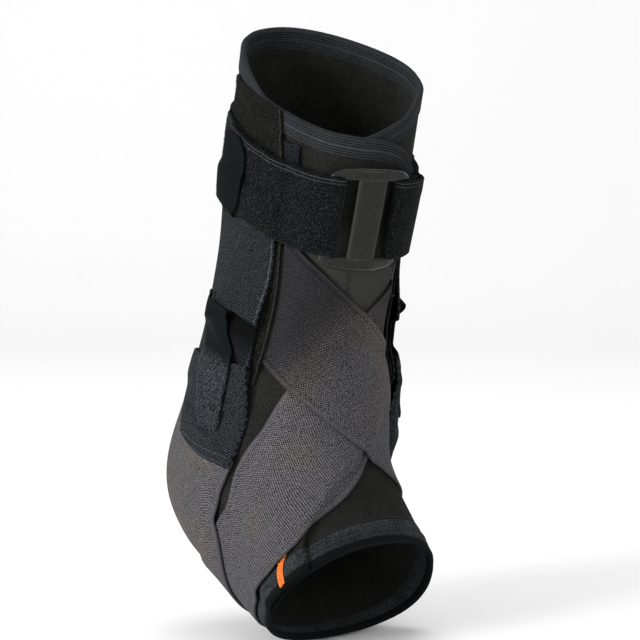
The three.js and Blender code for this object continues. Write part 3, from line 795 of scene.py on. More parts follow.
def times(rgb, share):
    """A colour made lighter or darker."""
    return tuple(min(1.0, x * share) for x in rgb)


def times_each(rgb, tint):
    """A colour with each channel multiplied by its own share."""
    return tuple(min(1.0, x * y) for x, y in zip(rgb, tint))


def elastic_finish():
    """Grey elastic: staggered light dots of thread with dark gaps, a light line along both edges with a
    painted shade line a little inside them where the elastic is grooved, and a slow drift from cool to warm
    grey. Over the first 30 to 80 mm of a strap the light threads are darkened, a painted shade."""
    made = Finish("elastic", roughness=0.9, sheen=0.02, specular=0.08)
    x, y = made.cloth()
    wobble = (made.noise(1.6, 1.0) - 0.5) * 0.9
    row, column = (y + x * 0.35 + wobble) / 1.25, (x + wobble) / 1.5
    fine = made.noise(0.45, 1.0)
    cloud = made.noise(34.0, 0.0)
    edge = made.attribute("edge")
    inner = edge.between(0.3, 0.8)
    dots = row.wave() * column.wave() + row.wave(math.pi) * column.wave(math.pi)
    dots = dots.between(0.2, 0.8) * inner + edge.beyond(0.3, 0.8) * 0.45
    line = edge.between(0.05, 0.3) * edge.beyond(0.7, 1.1)
    # painted shade: a darker line 2.1 to 3.0 mm inside both edges, where the elastic is grooved
    groove_shade = edge.between(2.1, 2.5) * edge.beyond(2.6, 3.0)
    share = dots * 1.4 + (fine - 0.5) * 4.4 * inner + (cloud - 0.5) * 0.2 - 0.28
    # painted shade: the light threads are darkened over a strap's first 30 mm and less so up to 80 mm
    share = share * (y.between(30.0, 80.0) * 0.86 + 0.14) + line * 0.12 - groove_shade * 0.22
    c = colours()
    cool, warm = (times_each(c.elastic, tint) for tint in ((0.97, 0.97, 1.05), (1.06, 0.99, 0.95)))
    light = made.mix(cloud.between(0.4, 0.62), cool, warm)
    made.paint(made.mix(share, tuple(c.elastic_gap), light))
    made.relief(dots + fine * 0.5 * inner, 0.16)


def knit_finish(name, base, light, pitch, contrast, ribbed=0.0, bound=0.0):
    """Fine stretch knit: columns of small V stitches, with loose fibres over them. The front of the ankle is
    stretched more, so lighter; a bound piece is black from that many millimetres down."""
    made = Finish(name, roughness=0.95, sheen=0.01, specular=0.06)
    x, y = made.cloth()
    chevron = ((x / pitch).math("FRACT") - 0.5).math("ABSOLUTE")
    stitch = (y / pitch + chevron * 1.2).wave() * (chevron * 2.0).wave(math.pi / 2)
    fine = made.noise(0.7, 2.0)
    cloud = made.noise(12.0, 2.0)
    share = stitch * contrast + (fine - 0.5) * 1.6 + (cloud - 0.5) * 0.5 + 0.1 + made.attribute("front") * 1.0
    if bound:
        share = share * y.beyond(bound, bound + 1.2)
    if ribbed:
        share = share * 0.6 + (made.attribute("edge") / ribbed).wave() * 0.7 - 0.1
    made.paint(made.mix(share, base, light))
    made.relief(stitch + fine * 0.7, 0.25)


def pile_finish(name, base, tip, speck):
    """Brushed loop pile: near black, with light specks where loops catch the light, and a light edge."""
    made = Finish(name, roughness=1.0, sheen=0.02, specular=0.05)
    fine = made.noise(0.8, 2.0, 0.7)
    coarse = made.noise(5.0, 2.0)
    edge = made.attribute("edge")
    line = edge.between(0.1, 0.3) * edge.beyond(0.6, 0.9) * fine
    share = fine.between(0.5, 0.78) * speck + (coarse - 0.5) * 0.4 + line
    made.paint(made.mix(share, base, tip))
    made.relief(fine, 0.7)


def cuff_finish():
    """The same pile with two light woven lines along the strap's upper edge."""
    c = colours()
    made = Finish("cuff", roughness=1.0, sheen=0.02, specular=0.05)
    x, _ = made.cloth()
    fine = made.noise(0.6, 2.0, 0.7)
    lines = x.between(0.15, 0.4) * x.beyond(0.6, 0.9) + x.between(1.7, 1.95) * x.beyond(2.2, 2.5) * 0.6
    share = fine.between(0.5, 0.76) * 0.5 + lines * (fine + 0.1) * 0.7
    made.paint(made.mix(share, tuple(c.pile), times(c.pile_tip, 1.4)))
    made.relief(fine + lines * 0.6, 0.5)


def tuft_finish(name, root, tip):
    """Pile ends from dark to light."""
    made = Finish(name, roughness=0.9, sheen=0.0, specular=0.1)
    shade = made.attribute("shade")
    made.paint(made.mix(shade.between(0.25, 1.0), root, tip))


def rib_finish(name, base, rib, pitch, dash, slant, shaded=False):
    """Ribbed webbing: slanting rows of short raised threads. Where it is shaded, the piece's own attribute
    open tells how much of the pattern is kept, and the colour is darkened to near black where it is 0, a
    painted shade."""
    made = Finish(name, roughness=0.8, sheen=0.0, specular=0.08)
    x, y = made.cloth()
    wobble = made.noise(2.5, 1.0) - 0.5
    row = (y + x * slant + wobble * 0.3) / pitch
    thread = (x - y * slant * 0.6 + wobble * 0.3) / dash
    lines = row.wave()
    dashes = lines * (thread.wave() * 0.75 + 0.25)
    fine = made.noise(0.6, 1.0)
    share = dashes.between(0.25, 0.95) * 0.62 + (fine - 0.5) * 1.9 - 0.06
    if shaded:
        front = x.math("ABSOLUTE")
        line = front.between(0.1, 0.4) * front.beyond(0.9, 1.5) * fine
        # painted shade: where the attribute open falls to 0, the pattern and the base colour are darkened to
        # near black
        share = (share + line * 0.8) * made.attribute("open")
        base = made.mix(made.attribute("open"), times(base, 0.12), base)
    made.paint(made.mix(share, base, rib))
    made.relief(dashes + fine * 0.5, 0.3)


def tab_finish():
    """Smooth slate tab with a faint grain and a lighter cut edge."""
    made = Finish("tab", roughness=0.6, specular=0.045)
    hem = made.attribute("hem")
    grain = made.noise(0.5, 2.0)
    slow = made.noise(9.0, 1.0)
    c = colours()
    rim = hem.beyond(0.15, 0.7)
    share = (slow - 0.5) * 0.5 + (grain - 0.5) * 0.3 + 0.3 + rim * 0.35
    made.paint(made.mix(share, times(c.tab, 0.7), times(c.tab, 1.8)))
    made.relief(grain, 0.12)


def pull_tab_finish():
    """Smooth slate at the top, hooked and fuzzy below, where the tab is sewn to the hook end."""
    made = Finish("pull_tab", roughness=0.7, specular=0.05)
    _, y = made.cloth()
    hem = made.attribute("hem")
    grain = made.noise(0.5, 2.0)
    specks = made.noise(0.75, 2.0, 0.7)
    lower = (y + (made.noise(3.0) - 0.5) * 5.0).between(24.0, 31.0)
    c = colours()
    rim = hem.beyond(0.15, 0.7)
    smooth_part = made.mix((grain - 0.5) * 0.5 + 0.3 + rim * 0.7, times(c.tab, 0.8), times(c.tab, 2.3))
    hooked = made.mix(specks.between(0.4, 0.75), times(c.band, 1.1), times(c.band_rib, 0.72))
    made.paint(made.mix(lower, smooth_part, hooked))
    made.relief(grain * 0.3 + specks * lower, 0.4)


def plastic_finish():
    """Moulded plastic with a soft gloss, a fine grain, drawn lines down the bridge, and painted highlights
    along its edges.
    """
    made = Finish("ring", roughness=0.2, specular=0.26)
    x, _ = made.cloth()
    grain = made.noise(0.35, 2.0)
    drawn = (x / 0.9).wave() * made.noise(2.0, 1.0)
    slow = made.noise(7.0, 1.0)
    c = colours()
    # painted highlight: lighter within 0.1 to 0.7 mm of the ring's outer and slot edges
    rim = made.attribute("edge").beyond(0.1, 0.7)
    share = drawn * 0.9 + (grain - 0.5) * 0.5 + (slow - 0.5) * 0.5 + rim * 0.55
    made.paint(made.mix(share, times(c.ring, 0.2), times(c.ring, 4.5)))
    made.relief(drawn * 0.5 + grain * 0.4, 0.06)


def thread_finish(name, rgb):
    """Twisted sewing thread."""
    made = Finish(name, roughness=0.7, sheen=0.1, specular=0.3)
    fine = made.noise(0.35, 1.0)
    made.paint(made.mix(fine.between(0.3, 0.7), times(rgb, 0.55), times(rgb, 1.3)))
    made.relief(fine, 0.1)


def floor_finish():
    """Pale matt floor with the faintest mottling."""
    made = Finish("floor", roughness=0.9, specular=0.1)
    slow = made.noise(300.0, 1.0)
    c = colours()
    made.paint(made.mix(slow, times(c.floor, 0.99), times(c.floor, 1.01)))


class BraceOperator(bpy.types.Operator):
    """Runs the build method of the operators below."""

    bl_options = {"REGISTER"}

    def execute(self, context):
        self.build()
        return {"FINISHED"}


class BRACE_OT_finishes(BraceOperator):
    """Makes the materials."""

    bl_idname = "brace.finishes"
    bl_label = "Finishes"

    def build(self):
        c = colours()
        elastic_finish()
        knit_finish("wrap", times(c.wrap, 0.55), times(c.wrap, 2.6), 1.0, 0.5)
        knit_finish("trim", times(c.trim, 0.3), times(c.trim, 6.5), 1.1, 0.6, bound=6.6)
        knit_finish("rim", times(c.trim, 0.25), times(c.trim, 3.6), 1.0, 0.2, ribbed=1.1)
        pile_finish("pile", times(c.velour, 0.5), times(c.velour, 6.0), 0.55)
        cuff_finish()
        tuft_finish("tufts", tuple(c.pile), times(c.pile_tip, 1.1))
        tuft_finish("panel_tufts", tuple(c.pile), times(c.velour, 4.0))
        rib_finish("band", tuple(c.band), tuple(c.band_rib), 1.15, 0.9, 0.4)
        rib_finish("side_band", tuple(c.band), times(c.band_rib, 0.85), 1.15, 0.9, 0.4, shaded=True)
        rib_finish("keeper", times(c.band, 1.0), times(c.band_rib, 0.5), 1.2, 1.2, 0.1)
        tab_finish()
        pull_tab_finish()
        plastic_finish()
        thread_finish("thread", tuple(c.thread))
        thread_finish("light_thread", times(c.thread, 2.0))
        thread_finish("dark_thread", times(c.thread, 0.1))
        thread_finish("mark", tuple(c.mark))
        floor_finish()


class BRACE_OT_wrap(BraceOperator):
    """Makes the knitted wrap and the bands along its two edges."""

    bl_idname = "brace.wrap"
    bl_label = "Wrap"
    columns = 84
    rows = 190
    rim_level = 0.1
    ramp_clearance = 0.1 * MM
    flap_reach = 10 * MM
    flap_ramp = 12 * MM

    def heel_half(self, v):
        """Half the heel opening at v, as a share of the girth: an ellipse along the back line."""
        size = sizes()
        limb = Work.limb
        across = (v - HEEL_CENTRE) * limb.per_v(0.5, HEEL_CENTRE) / (size.heel_length / 2)
        half = size.heel_width / 2 / limb.per_u(0.5, HEEL_CENTRE)
        return half * np.sqrt(np.clip(1 - across**2, 0, None))

    def turns(self, v):
        """Shares of the girth gone round at v, for the two halves of the sheet."""
        size = sizes()
        half = self.columns
        free = smooth(FLAP_EDGE["v"], FLAP_EDGE["u"], v)
        start = (-free - size.flap_overlap / Work.limb.per_u(free, v))[:, :half]
        gap = self.heel_half(v)
        s = np.linspace(0, 1, half)[None, :]
        first = start + (0.5 - gap[:, :half] - start) * s
        last = 0.5 + gap[:, half:] + (0.5 - free[:, half:] - gap[:, half:]) * s
        return np.concatenate([first, last], 1)

    def lift(self, turn, v):
        """How far the outer flap is raised over the inner one."""
        size = sizes()
        per_u = Work.limb.per_u(0.0, v)
        under = smooth(FLAP_EDGE["v"], FLAP_EDGE["u"], v) + size.flap_overlap / per_u
        past = (1 - turn - under) * per_u
        raised = size.wrap_wall + size.binding_proud + size.layer_gap + self.ramp_clearance
        rise = raised * (1 - step(past - self.flap_reach, 0, self.flap_ramp))
        return np.where(np.arange(turn.shape[1])[None, :] >= self.columns, rise, 0)

    def front(self, u, v):
        """1 at the front of the ankle, from the cuff to the crossing of the straps, and 0 elsewhere."""
        around = np.abs((u + 1.5) % 1 - 0.5)
        return (1 - step(around, 0.1, 0.17)) * step(v, 0.2, 0.27) * (1 - step(v, 0.42, 0.48))

    def sheet(self, name, slot, finish, top_v, bottom_v, rows, proud):
        """The sheet between two heights, each a function of the share of the girth gone round."""
        limb, size = Work.limb, sizes()
        share = np.linspace(0, 1, rows)[:, None]
        v = np.full((rows, 2 * self.columns), 0.5)
        for _ in range(4):
            turn = self.turns(v)
            v = top_v(turn) + share * (bottom_v(turn) - top_v(turn))
        turn = self.turns(v)
        lift = self.lift(turn, v)
        u = -turn
        normal = limb.normal(u, v)
        bottom = limb.at(u, v) + normal * lift[..., None]
        top = bottom + normal * (size.wrap_wall + proud)
        across, along = run_lengths(top)
        edge = np.minimum(along, along[-1:] - along)
        numbers = np.arange(u.size).reshape(u.shape)
        joined = self.heel_half(v[:, self.columns]) <= 0
        numbers[joined, self.columns] = numbers[joined, self.columns - 1]
        faces = grid_faces(*u.shape)
        cells = faces.reshape(rows - 1, -1, 4)
        cells = np.delete(cells, self.columns - 1, axis=1).reshape(-1, 4)
        faces = numbers.ravel()[cells]
        used, packed = np.unique(faces, return_inverse=True)
        faces = facing_out(packed.reshape(-1, 4), top, normal)
        made = closed_sheet(
            name + "_cloth",
            top.reshape(-1, 3)[used],
            bottom.reshape(-1, 3)[used],
            faces,
            np.stack([across, along], -1).reshape(-1, 2)[used],
            {"edge": edge.ravel()[used], "front": self.front(u, v).ravel()[used]},
        )
        for part in (slice(0, self.columns), slice(self.columns, 2 * self.columns)):
            Work.layers.lay(u[:, part], v[:, part], (lift + size.wrap_wall + proud)[:, part], fine=5)
        finish_piece(made, finish, name)
        cells = np.linalg.norm(np.cross(np.diff(top, axis=1)[:-1], np.diff(top, axis=0)[:, :-1]), axis=-1)
        cells = np.delete(cells, self.columns - 1, axis=1)
        flat = (across[:, -1].max() * MM, along[-1].max() * MM)
        return made, flat, float(cells.sum())

    def build(self):
        limb, size = Work.limb, sizes()

        def near_rim(turn, long):
            return long / limb.per_v(-turn, self.rim_level)

        def near_toes(turn, long):
            return long / limb.per_v(-turn, TOE_LEVEL)

        def rim(turn):
            return smooth(RIM_LINE["turn"], RIM_LINE["v"], turn)

        def toe(turn):
            return 1 - near_toes(turn, size.forefoot_band)

        gap = size.layer_gap
        wrap, flat, area = self.sheet(
            "base_wrap", "wrap_knit", "wrap",
            lambda turn: rim(turn) + near_rim(turn, size.rim_band + gap),
            lambda turn: toe(turn) - near_toes(turn, gap),
            self.rows, 0.0,
        )
        rim_band = self.sheet(
            "rim_band", "trim_knit", "rim",
            rim, lambda turn: rim(turn) + near_rim(turn, size.rim_band), 12, size.binding_proud,
        )[0]
        toe_band = self.sheet(
            "forefoot_band", "trim_knit", "trim",
            toe, lambda turn: toe(turn) + near_toes(turn, size.forefoot_band), 12, size.binding_proud,
        )[0]


class BRACE_OT_straps(BraceOperator):
    """Makes the two crossed elastic straps."""

    bl_idname = "brace.straps"
    bl_label = "Elastic straps"

    def build(self):
        size = sizes()
        for name, path in (("lower_strap", LOWER_PATH), ("upper_strap", UPPER_PATH)):
            u, v = strap_lattice(path, size.elastic_width, 360, 41)
            points = Work.limb.at(u, v)
            lay_cloth(
                name, name, "elastic", u, v, size.elastic,
            )


class BRACE_OT_side_panels(BraceOperator):
    """Makes the brushed panels and the ribbed bands of both sides.

    A band is folded up at its lower edge, a lip, and runs on below it; just under the lip its colour is
    darkened to near black, a painted shade.
    """

    bl_idname = "brace.side_panels"
    bl_label = "Side panels"
    lip = 0.374
    lip_middle = 0.23
    lip_bend = 0.3
    lip_end = 0.27
    lip_fade = 0.05
    lip_reach = 0.08
    lip_drop = 0.003
    lip_rise = 3.2 * MM
    # span under the lip that gets the painted shade
    recess_shade_from = 0.02
    recess_shade_to = 0.085
    panel_length = 0.125
    band_length = 0.093
    pile_density = 5.0
    pile_size = 0.6 * MM

    def build(self):
        size = sizes()
        for seed, (name, side) in enumerate(SIDES):
            u, v = panel_lattice(LOOP_PANEL, size.loop_panel_width, side, 150, 50)
            node = f"{name}_loop_panel"
            top, normal = lay_cloth(
                node, node, "pile", u, v, size.loop_panel,
            )
            tufts(
                f"{name}_panel_pile", "panel_tufts", top, normal, self.pile_density,
                self.pile_size, seed,
            )
        for name, side in SIDES:
            u, v = panel_lattice(SIDE_BAND, size.side_band_width, side, 130, 50)
            node = f"{name}_side_band"
            front = side * (u - inner_shift(v, Work.limb.per_u(u, v), side))
            lip = self.lip + np.abs(front - self.lip_middle) * self.lip_bend
            near = 1 - step(front, self.lip_end, self.lip_end + self.lip_fade)
            below = step(v, lip, lip + self.lip_drop)
            rise = self.lip_rise * near * step(v, lip - self.lip_reach, lip) * (1 - below)
            # painted shade: 1 just under the lip, fading out further down; passed to the finish as open, 0
            # where fully shaded
            recess_shade = below * (1 - step(v, lip + self.recess_shade_from, lip + self.recess_shade_to)) * near
            lay_cloth(
                node, node, "side_band", u, v, size.side_band, side=side, lift=rise,
                attributes={"open": 1 - recess_shade},
            )


class BRACE_OT_hook_ends(BraceOperator):
    """Makes the stirrups' hook ends with their pull tabs.

    A hook end bulges off the ankle: half a sine down it times the root of half a sine across it. The top of
    a tab stands off the band.
    """

    bl_idname = "brace.hook_ends"
    bl_label = "Hook ends"
    bulge = {"lateral": 2 * MM, "medial": 9 * MM}
    flare = {"lateral": 0.6 * MM, "medial": 4.5 * MM}
    flare_reach = 0.08
    tab_length = 0.05
    long = {"lateral": 50 * MM, "medial": 68 * MM}

    def build(self):
        size = sizes()
        rows, columns = 90, 60
        for name, side in SIDES:
            u, v = panel_lattice(HOOK_ENDS[name], size.hook_end_width, side, rows, columns)
            node = f"{name}_hook_end"
            down, over = np.meshgrid(np.linspace(0, 1, rows), np.linspace(0, 1, columns), indexing="ij")
            bulge = self.bulge[name] * np.sin(np.pi * down) ** 0.7 * np.sin(np.pi * over) ** 0.5
            lay_cloth(
                node, node, "band", u, v, size.hook_end, side=side, lift=bulge,
            )
        for name, side in SIDES:
            u, v = panel_lattice(PULL_TAB, size.pull_tab_width, side, 90, 30)
            node = f"{name}_pull_tab"
            top_v = PULL_TAB["v"][0]
            flare = self.flare[name] * (1 - step(v, top_v, top_v + self.flare_reach))
            lay_cloth(
                node, node, "pull_tab", u, v, size.pull_tab, side=side, lift=flare,
            )


class BRACE_OT_small_parts(BraceOperator):
    """Makes the keeper tab and the orange stitching."""

    bl_idname = "brace.small_parts"
    bl_label = "Keeper and mark"
    keeper_wall = 1.1 * MM
    mark_wall = 0.5 * MM

    def build(self):
        size = sizes()
        u, v = panel_lattice(KEEPER, size.keeper_width, 1, 40, 12)
        lay_cloth("keeper_tab", "keeper_tab", "keeper", u, v, self.keeper_wall)
        u, v = panel_lattice(MARK, size.mark_width, 1, 60, 6)
        name = "orange_mark"
        lay_cloth(name, name, "mark", u, v, self.mark_wall, drape=(2, 2))
        stitch_line(
            "mark_stitches", u[:, 3], v[:, 3], finish="mark", zigzag=2.4 * MM, pitch=0.95 * MM,
            long=2.7 * MM, thick=0.5 * MM,
        )


class BRACE_OT_stitching(BraceOperator):
    """Makes the runs of stitches: along the toe band, under the ring, and round the hook ends."""

    bl_idname = "brace.stitching"
    bl_label = "Stitching"
    toe_span = (-0.44, 0.166)
    toe_rows = ((0.36, 1.7 * MM, 0.4 * MM), (0.62, 2.4 * MM, 0.9 * MM))
    hem_inset = 1.5 * MM

    def build(self):
        size = sizes()
        u = np.linspace(*self.toe_span, 12)
        per_v = Work.limb.per_v(u, TOE_LEVEL)
        for number, (inside, pitch, thick) in enumerate(self.toe_rows):
            v = 1 - inside * size.forefoot_band / per_v
            stitch_line(
                f"toe_seam_{number}", u, v, finish="dark_thread", pitch=pitch, thick=thick, zigzag=0.5 * MM,
            )
        stitch_line("toe_hem", u, 1 - (size.forefoot_band + self.hem_inset) / per_v, finish="dark_thread")
        for name, us, vs, swing in (
            ("outer_zigzag", (0.052, 0.047, 0.038), (0.285, 0.315, 0.345), 3.2 * MM),
            ("inner_zigzag", (-0.05, -0.085, -0.118), (0.29, 0.325, 0.353), 3 * MM),
        ):
            stitch_line(
                name, us, vs, finish="dark_thread", zigzag=swing, pitch=1.9 * MM, long=3 * MM, thick=0.7 * MM
            )
        for name, side in SIDES:
            u, v = panel_lattice(HOOK_ENDS[name], size.hook_end_width, side, 60, 40)
            for number, row in enumerate((-3, -9)):
                stitch_line(
                    f"{name}_hook_seam_{number}", u[row, 2:-2:6], v[row, 2:-2:6], finish="light_thread",
                    pitch=2.0 * MM, long=1.4 * MM, thick=0.35 * MM,
                )
            u, v = panel_lattice(PULL_TAB, size.pull_tab_width, side, 60, 24)
            for number, column in enumerate((2, -3)):
                stitch_line(
                    f"{name}_tab_seam_{number}", u[26:-3:5, column], v[26:-3:5, column], pitch=1.8 * MM,
                    long=1.3 * MM, thick=0.35 * MM,
                )


class BRACE_OT_cuff(BraceOperator):
    """Makes the cuff strap, the strap that holds the ring, the ring and the end tab."""

    bl_idname = "brace.cuff"
    bl_label = "Cuff and ring"
    level = 0.2
    settle = 24 * MM
    seam_turn = 0.56
    edge_gap = 0.35 * MM
    spacing = 0.8 * MM
    tab_wall = 1.4 * MM
    tab_length = 0.034
    ring_soft = 0.5 * MM
    ring_swell = 0.7 * MM
    play = 0.1 * MM
    pile_span = (0.08, 0.97)
    pile_density = 7.0
    pile_size = 0.55 * MM

    def cuff_place(self, u, share):
        size = sizes()
        around = np.abs((u + 1.5) % 1 - 0.5)
        top = smooth(CUFF_LINE["u"], CUFF_LINE["v"], around)
        return top + share * size.cuff_width / Work.limb.per_v(u, self.level)

    def fold_radius(self):
        """From a post's axis to the middle of the strap that is folded round it."""
        size = sizes()
        return (size.ring + size.cuff) / 2 + size.layer_gap + self.play

    def folded(self, name, side, seam_at, tail, floor, seed):
        """A strap that passes under a post of the ring, folds round it and comes back over itself.

        Its middle layer runs along the limb, turns half a circle round the post, and returns at twice the
        circle's radius, settling down to its own thickness further on.
        """
        limb, size = Work.limb, sizes()
        girth = limb.per_u(0.0, self.level)
        radius = self.fold_radius()
        centre = size.ring_centre + side * (size.ring_width / 2 - size.ring_post + self.edge_gap)
        far = seam_at * girth - side * centre
        away = np.linspace(0, far, int(far / self.spacing))
        back = np.linspace(0, tail, int(tail / self.spacing))
        share = np.linspace(0, 1, 44)[None, :]

        def stations(d, lift, angle):
            """Centre line and facing of stations at a distance d from the post's axis."""
            u = np.repeat(((centre + side * d) / girth)[:, None], share.shape[1], 1)
            v = self.cuff_place(u, share)
            height = Work.layers.under(u, v) + size.layer_gap
            level = (1 - step(d, size.ring_post, self.settle))[:, None]
            height = height + np.maximum(floor - height, 0) * level
            along_u, _, normal = limb.tangents(u, v)
            post = unit(along_u) * side
            angle = np.asarray(angle)[:, None, None]
            facing = normal * np.cos(angle) + post * np.sin(angle)
            lift = np.asarray(lift)[:, None]
            line = limb.at(u, v) + normal * (height + size.cuff / 2 + lift)[..., None]
            line = line - post * radius * np.sin(angle)
            return line, facing, u, v, height

        close = size.cuff + size.layer_gap
        bend = np.linspace(0, np.pi, 14)[1:-1]
        rise = close + (2 * radius - close) * (1 - step(back, size.ring_post, self.settle))
        under = stations(away[::-1], np.zeros(len(away)), np.zeros(len(away)))
        fold = stations(np.zeros(len(bend)), radius * (1 - np.cos(bend)), bend)
        over = stations(back, rise, np.full(len(back), np.pi))
        line = np.concatenate([under[0], fold[0], over[0]])
        facing = np.concatenate([under[1], fold[1], over[1]])
        top = line + facing * size.cuff / 2
        bottom = line - facing * size.cuff / 2
        across, along = run_lengths(line)
        edge = np.minimum(across, across[:, -1:] - across)
        faces = facing_out(grid_faces(*line.shape[:2]), top, facing)
        made = closed_sheet(
            name + "_cloth", top.reshape(-1, 3), bottom.reshape(-1, 3), faces,
            np.stack([across, along], -1).reshape(-1, 2), {"edge": edge.ravel()},
        )
        finish_piece(made, "cuff", name)
        Work.layers.lay(under[2], under[3], under[4] + size.cuff)
        Work.layers.lay(over[2], over[3], over[4] + rise[:, None] + size.cuff)

        visible = len(away) - len(back)
        start = len(away) + len(bend) // 2
        for part, grid, out in (
            ("pile", top[:visible], facing[:visible]),
            ("tail_pile", top[start:], facing[start:]),
        ):
            tufts(
                f"{name}_{part}", "tufts", grid, out, self.pile_density, self.pile_size, seed,
                self.pile_span,
            )

    def build(self):
        limb, size = Work.limb, sizes()
        girth = float(limb.per_u(0.0, self.level))
        per_v = float(limb.per_v(0.0, self.level))
        half = size.ring_width / 2
        tall = size.cuff_width + 2 * (size.slot_clearance + size.ring_rail)
        margin = (size.slot_clearance + size.ring_rail) / per_v
        ring_top = float(smooth(CUFF_LINE["u"], CUFF_LINE["v"], size.ring_centre / girth)) - margin
        x, y = np.meshgrid(np.linspace(-half, half, 30), np.linspace(0, tall, 40))
        u, v = (size.ring_centre + x) / girth, ring_top + y / per_v
        floor = float((Work.layers.under(u, v) + size.layer_gap).max())
        base = floor + size.cuff / 2 + self.fold_radius() - size.ring / 2
        self.folded("cuff_strap", 1, self.seam_turn, size.cuff_tail, floor, 11)
        self.folded(
            "ring_anchor_strap", -1, 1 - self.seam_turn - self.edge_gap / girth, size.anchor_tail, floor, 21
        )
        self.make_ring(girth, per_v, ring_top, tall, base)
        u, v = panel_lattice(CUFF_TAB, size.cuff_tab_width, 1, 70, 30)
        lay_cloth(
            "cuff_hook_tab", "cuff_hook_tab", "tab", u, v, self.tab_wall,
        )

    def make_ring(self, girth, per_v, ring_top, tall, base):
        """The ring: a plate with two slots, curved with the shaft; its top and bottom bars are swollen in
        the middle, and a subdivision rounds its bars."""
        limb, size = Work.limb, sizes()
        half, bridge, post, rail = size.ring_width / 2, size.ring_bridge / 2, size.ring_post, size.ring_rail
        soft = self.ring_soft
        xs = np.array([
            -half, -half + soft, -half + post - soft, -half + post, -half + post + soft,
            -bridge - soft, -bridge, -bridge + soft, 0.0, bridge - soft, bridge, bridge + soft,
            half - post - soft, half - post, half - post + soft, half - soft, half,
        ])
        middle = np.linspace(rail + soft, tall - rail - soft, 9)
        ys = np.concatenate([
            [0, soft, rail / 2, rail - soft, rail], middle,
            [tall - rail, tall - rail + soft, tall - rail / 2, tall - soft, tall],
        ])
        x, y = np.meshgrid(xs, ys)
        cx = (x[:-1, :-1] + x[1:, 1:]) / 2
        cy = (y[:-1, :-1] + y[1:, 1:]) / 2
        in_slot = (np.abs(cx) > bridge) & (np.abs(cx) < half - post) & (cy > rail) & (cy < tall - rail)
        flat_y = y
        arch = 0.2 + 0.9 * (1 - np.abs(x / half) ** 3.2) ** 0.6
        y = np.where(y < rail, rail - (rail - y) * arch, y)
        y = np.where(y > tall - rail, tall - rail + (y - tall + rail) * arch, y)
        u, v = (size.ring_centre + x) / girth, ring_top + y / per_v
        swell = self.ring_swell * np.cos(np.pi * x / size.ring_width)
        bottom = limb.place(u, v, base + 0 * x)
        top = limb.place(u, v, base + size.ring + swell * (np.abs(y - tall / 2) > tall / 2 - rail))
        faces = grid_faces(*x.shape, keep=~in_slot)
        used, packed = np.unique(faces, return_inverse=True)
        faces = facing_out(packed.reshape(-1, 4), top, limb.normal(u, v))
        uv = (np.stack([x, y], -1) / MM).reshape(-1, 2)[used]
        # distance from the nearest edge, in millimetres, for the painted highlights along the ring's edges
        from_slot = np.hypot(
            np.maximum(0, np.maximum(bridge - np.abs(x), np.abs(x) - (half - post))),
            np.maximum(0, np.maximum(rail - y, y - (tall - rail))),
        )
        edge = np.minimum(from_slot, np.minimum(half - np.abs(x), np.minimum(flat_y, tall - flat_y)))
        made = closed_sheet(
            "ring_moulding", top.reshape(-1, 3)[used], bottom.reshape(-1, 3)[used], faces, uv,
            {"edge": edge.ravel()[used] / MM},
        )
        rounding = made.modifiers.new("rounding", "SUBSURF")
        rounding.levels = rounding.render_levels = 2
        finish_piece(made, "ring", "ring_buckle")


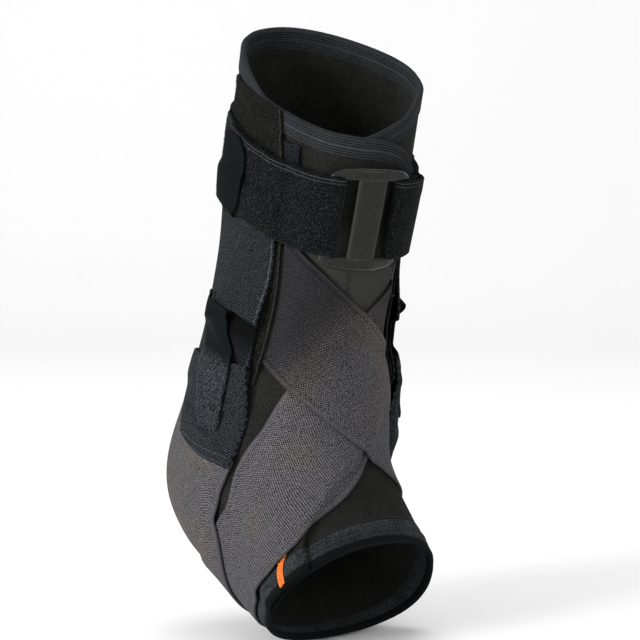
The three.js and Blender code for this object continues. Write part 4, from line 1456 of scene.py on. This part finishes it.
class BRACE_OT_stage(BraceOperator):
    """Makes the floor, the backdrop, the lights and the camera."""

    bl_idname = "brace.stage"
    bl_label = "Stage"
    azimuth = math.radians(-42)
    elevation = math.radians(8)
    distance = 1.43
    pixels_per_metre = 2090.9
    origin_pixel = (284, 421)
    image = 640
    sensor = 36
    floor_drop = 0.001
    floor_reach = 6.0
    bend_from = 1.2
    bend_radius = 0.6
    wall_height = 5.0
    world_light = 0.62
    lamps = (
        # name, degrees round and up, distance, diameter, watts
        ("key", -95, 18, 1.5, 0.8, 24.0),
        ("fill", 5, 20, 1.6, 1.2, 4.0),
        ("top", 120, 70, 1.4, 1.0, 6.0),
    )

    def build(self):
        self.floor()
        self.lights()
        self.camera()

    def floor(self):
        """A floor that bends up into a backdrop: straight, a quarter of a circle, and straight again."""
        low = CAD_BOX[0][2] - self.floor_drop
        radius = self.bend_radius
        bend = np.linspace(0, np.pi / 2, 24)
        out = np.concatenate(
            [[-self.floor_reach], self.bend_from + radius * np.sin(bend), [self.bend_from + radius]]
        )
        high = np.concatenate([[0.0], radius * (1 - np.cos(bend)), [self.wall_height]])
        a = self.azimuth
        away = np.array([-math.sin(a), math.cos(a), 0])
        side = np.array([math.cos(a), math.sin(a), 0])
        width = np.linspace(-self.floor_reach, self.floor_reach, 9)
        points = (
            out[:, None, None] * away
            + width[None, :, None] * side
            + (high + low)[:, None, None] * np.array([0, 0, 1])
        )
        made = new_object("floor", points.reshape(-1, 3), grid_faces(*points.shape[:2])[:, ::-1])
        made.data.materials.append(Work.finishes["floor"])

    def lights(self):
        """A broad key light from the left, a fill from the right and one from above."""
        world = bpy.data.worlds.new("studio")
        bpy.context.scene.world = world
        world.use_nodes = True
        background = world.node_tree.nodes["Background"]
        background.inputs["Color"].default_value = (1.0, 1.0, 1.0, 1.0)
        background.inputs["Strength"].default_value = self.world_light
        bpy.context.scene.view_settings.view_transform = "Standard"
        for name, turn, height, away, width, power in self.lamps:
            data = bpy.data.lights.new(name, "AREA")
            data.shape = "DISK"
            data.size = width
            data.energy = power
            lamp = bpy.data.objects.new(name, data)
            back = direction(math.radians(turn), math.radians(height))
            lamp.location = back * away
            lamp.rotation_mode = "QUATERNION"
            lamp.rotation_quaternion = (-back).to_track_quat("-Z", "Y")
            bpy.context.scene.collection.objects.link(lamp)

    def camera(self):
        """The photograph's view: the origin lies off the middle of the picture, by the lens's shift."""
        back = direction(self.azimuth, self.elevation)
        data = bpy.data.cameras.new("camera")
        data.sensor_width = self.sensor
        data.lens = self.pixels_per_metre * self.distance / self.image * data.sensor_width
        data.shift_x = (self.image / 2 - self.origin_pixel[0]) / self.image
        data.shift_y = (self.origin_pixel[1] - self.image / 2) / self.image
        camera = bpy.data.objects.new("camera", data)
        camera.location = back * self.distance
        camera.rotation_mode = "QUATERNION"
        camera.rotation_quaternion = (-back).to_track_quat("-Z", "Y")
        bpy.context.scene.collection.objects.link(camera)
        bpy.context.scene.camera = camera


OPERATORS = (
    BRACE_OT_finishes,
    BRACE_OT_stage,
    BRACE_OT_wrap,
    BRACE_OT_small_parts,
    BRACE_OT_straps,
    BRACE_OT_side_panels,
    BRACE_OT_hook_ends,
    BRACE_OT_stitching,
    BRACE_OT_cuff,
)


class BRACE_PT_panel(bpy.types.Panel):
    """Lists the brace's pieces, sizes and colours."""

    bl_idname = "BRACE_PT_panel"
    bl_label = "Ankle brace"
    bl_space_type = "VIEW_3D"
    bl_region_type = "UI"
    bl_category = "Brace"

    def draw(self, context):
        for operator in OPERATORS:
            self.layout.operator(operator.bl_idname)
        for group in (context.scene.brace_sizes, context.scene.brace_colours):
            box = self.layout.box()
            for name in group.__annotations__:
                box.prop(group, name)


CLASSES = (BraceSizes, BraceColours, *OPERATORS, BRACE_PT_panel)


def register():
    for each in CLASSES:
        bpy.utils.register_class(each)
    bpy.types.Scene.brace_sizes = PointerProperty(type=BraceSizes)
    bpy.types.Scene.brace_colours = PointerProperty(type=BraceColours)


def unregister():
    del bpy.types.Scene.brace_colours
    del bpy.types.Scene.brace_sizes
    for each in reversed(CLASSES):
        bpy.utils.unregister_class(each)


def main():
    register()
    Work.limb = Limb(sizes())
    Work.layers = Layers()
    for operator in OPERATORS:
        group, name = operator.bl_idname.split(".")
        getattr(getattr(bpy.ops, group), name)()


if __name__ == "__main__":
    main()
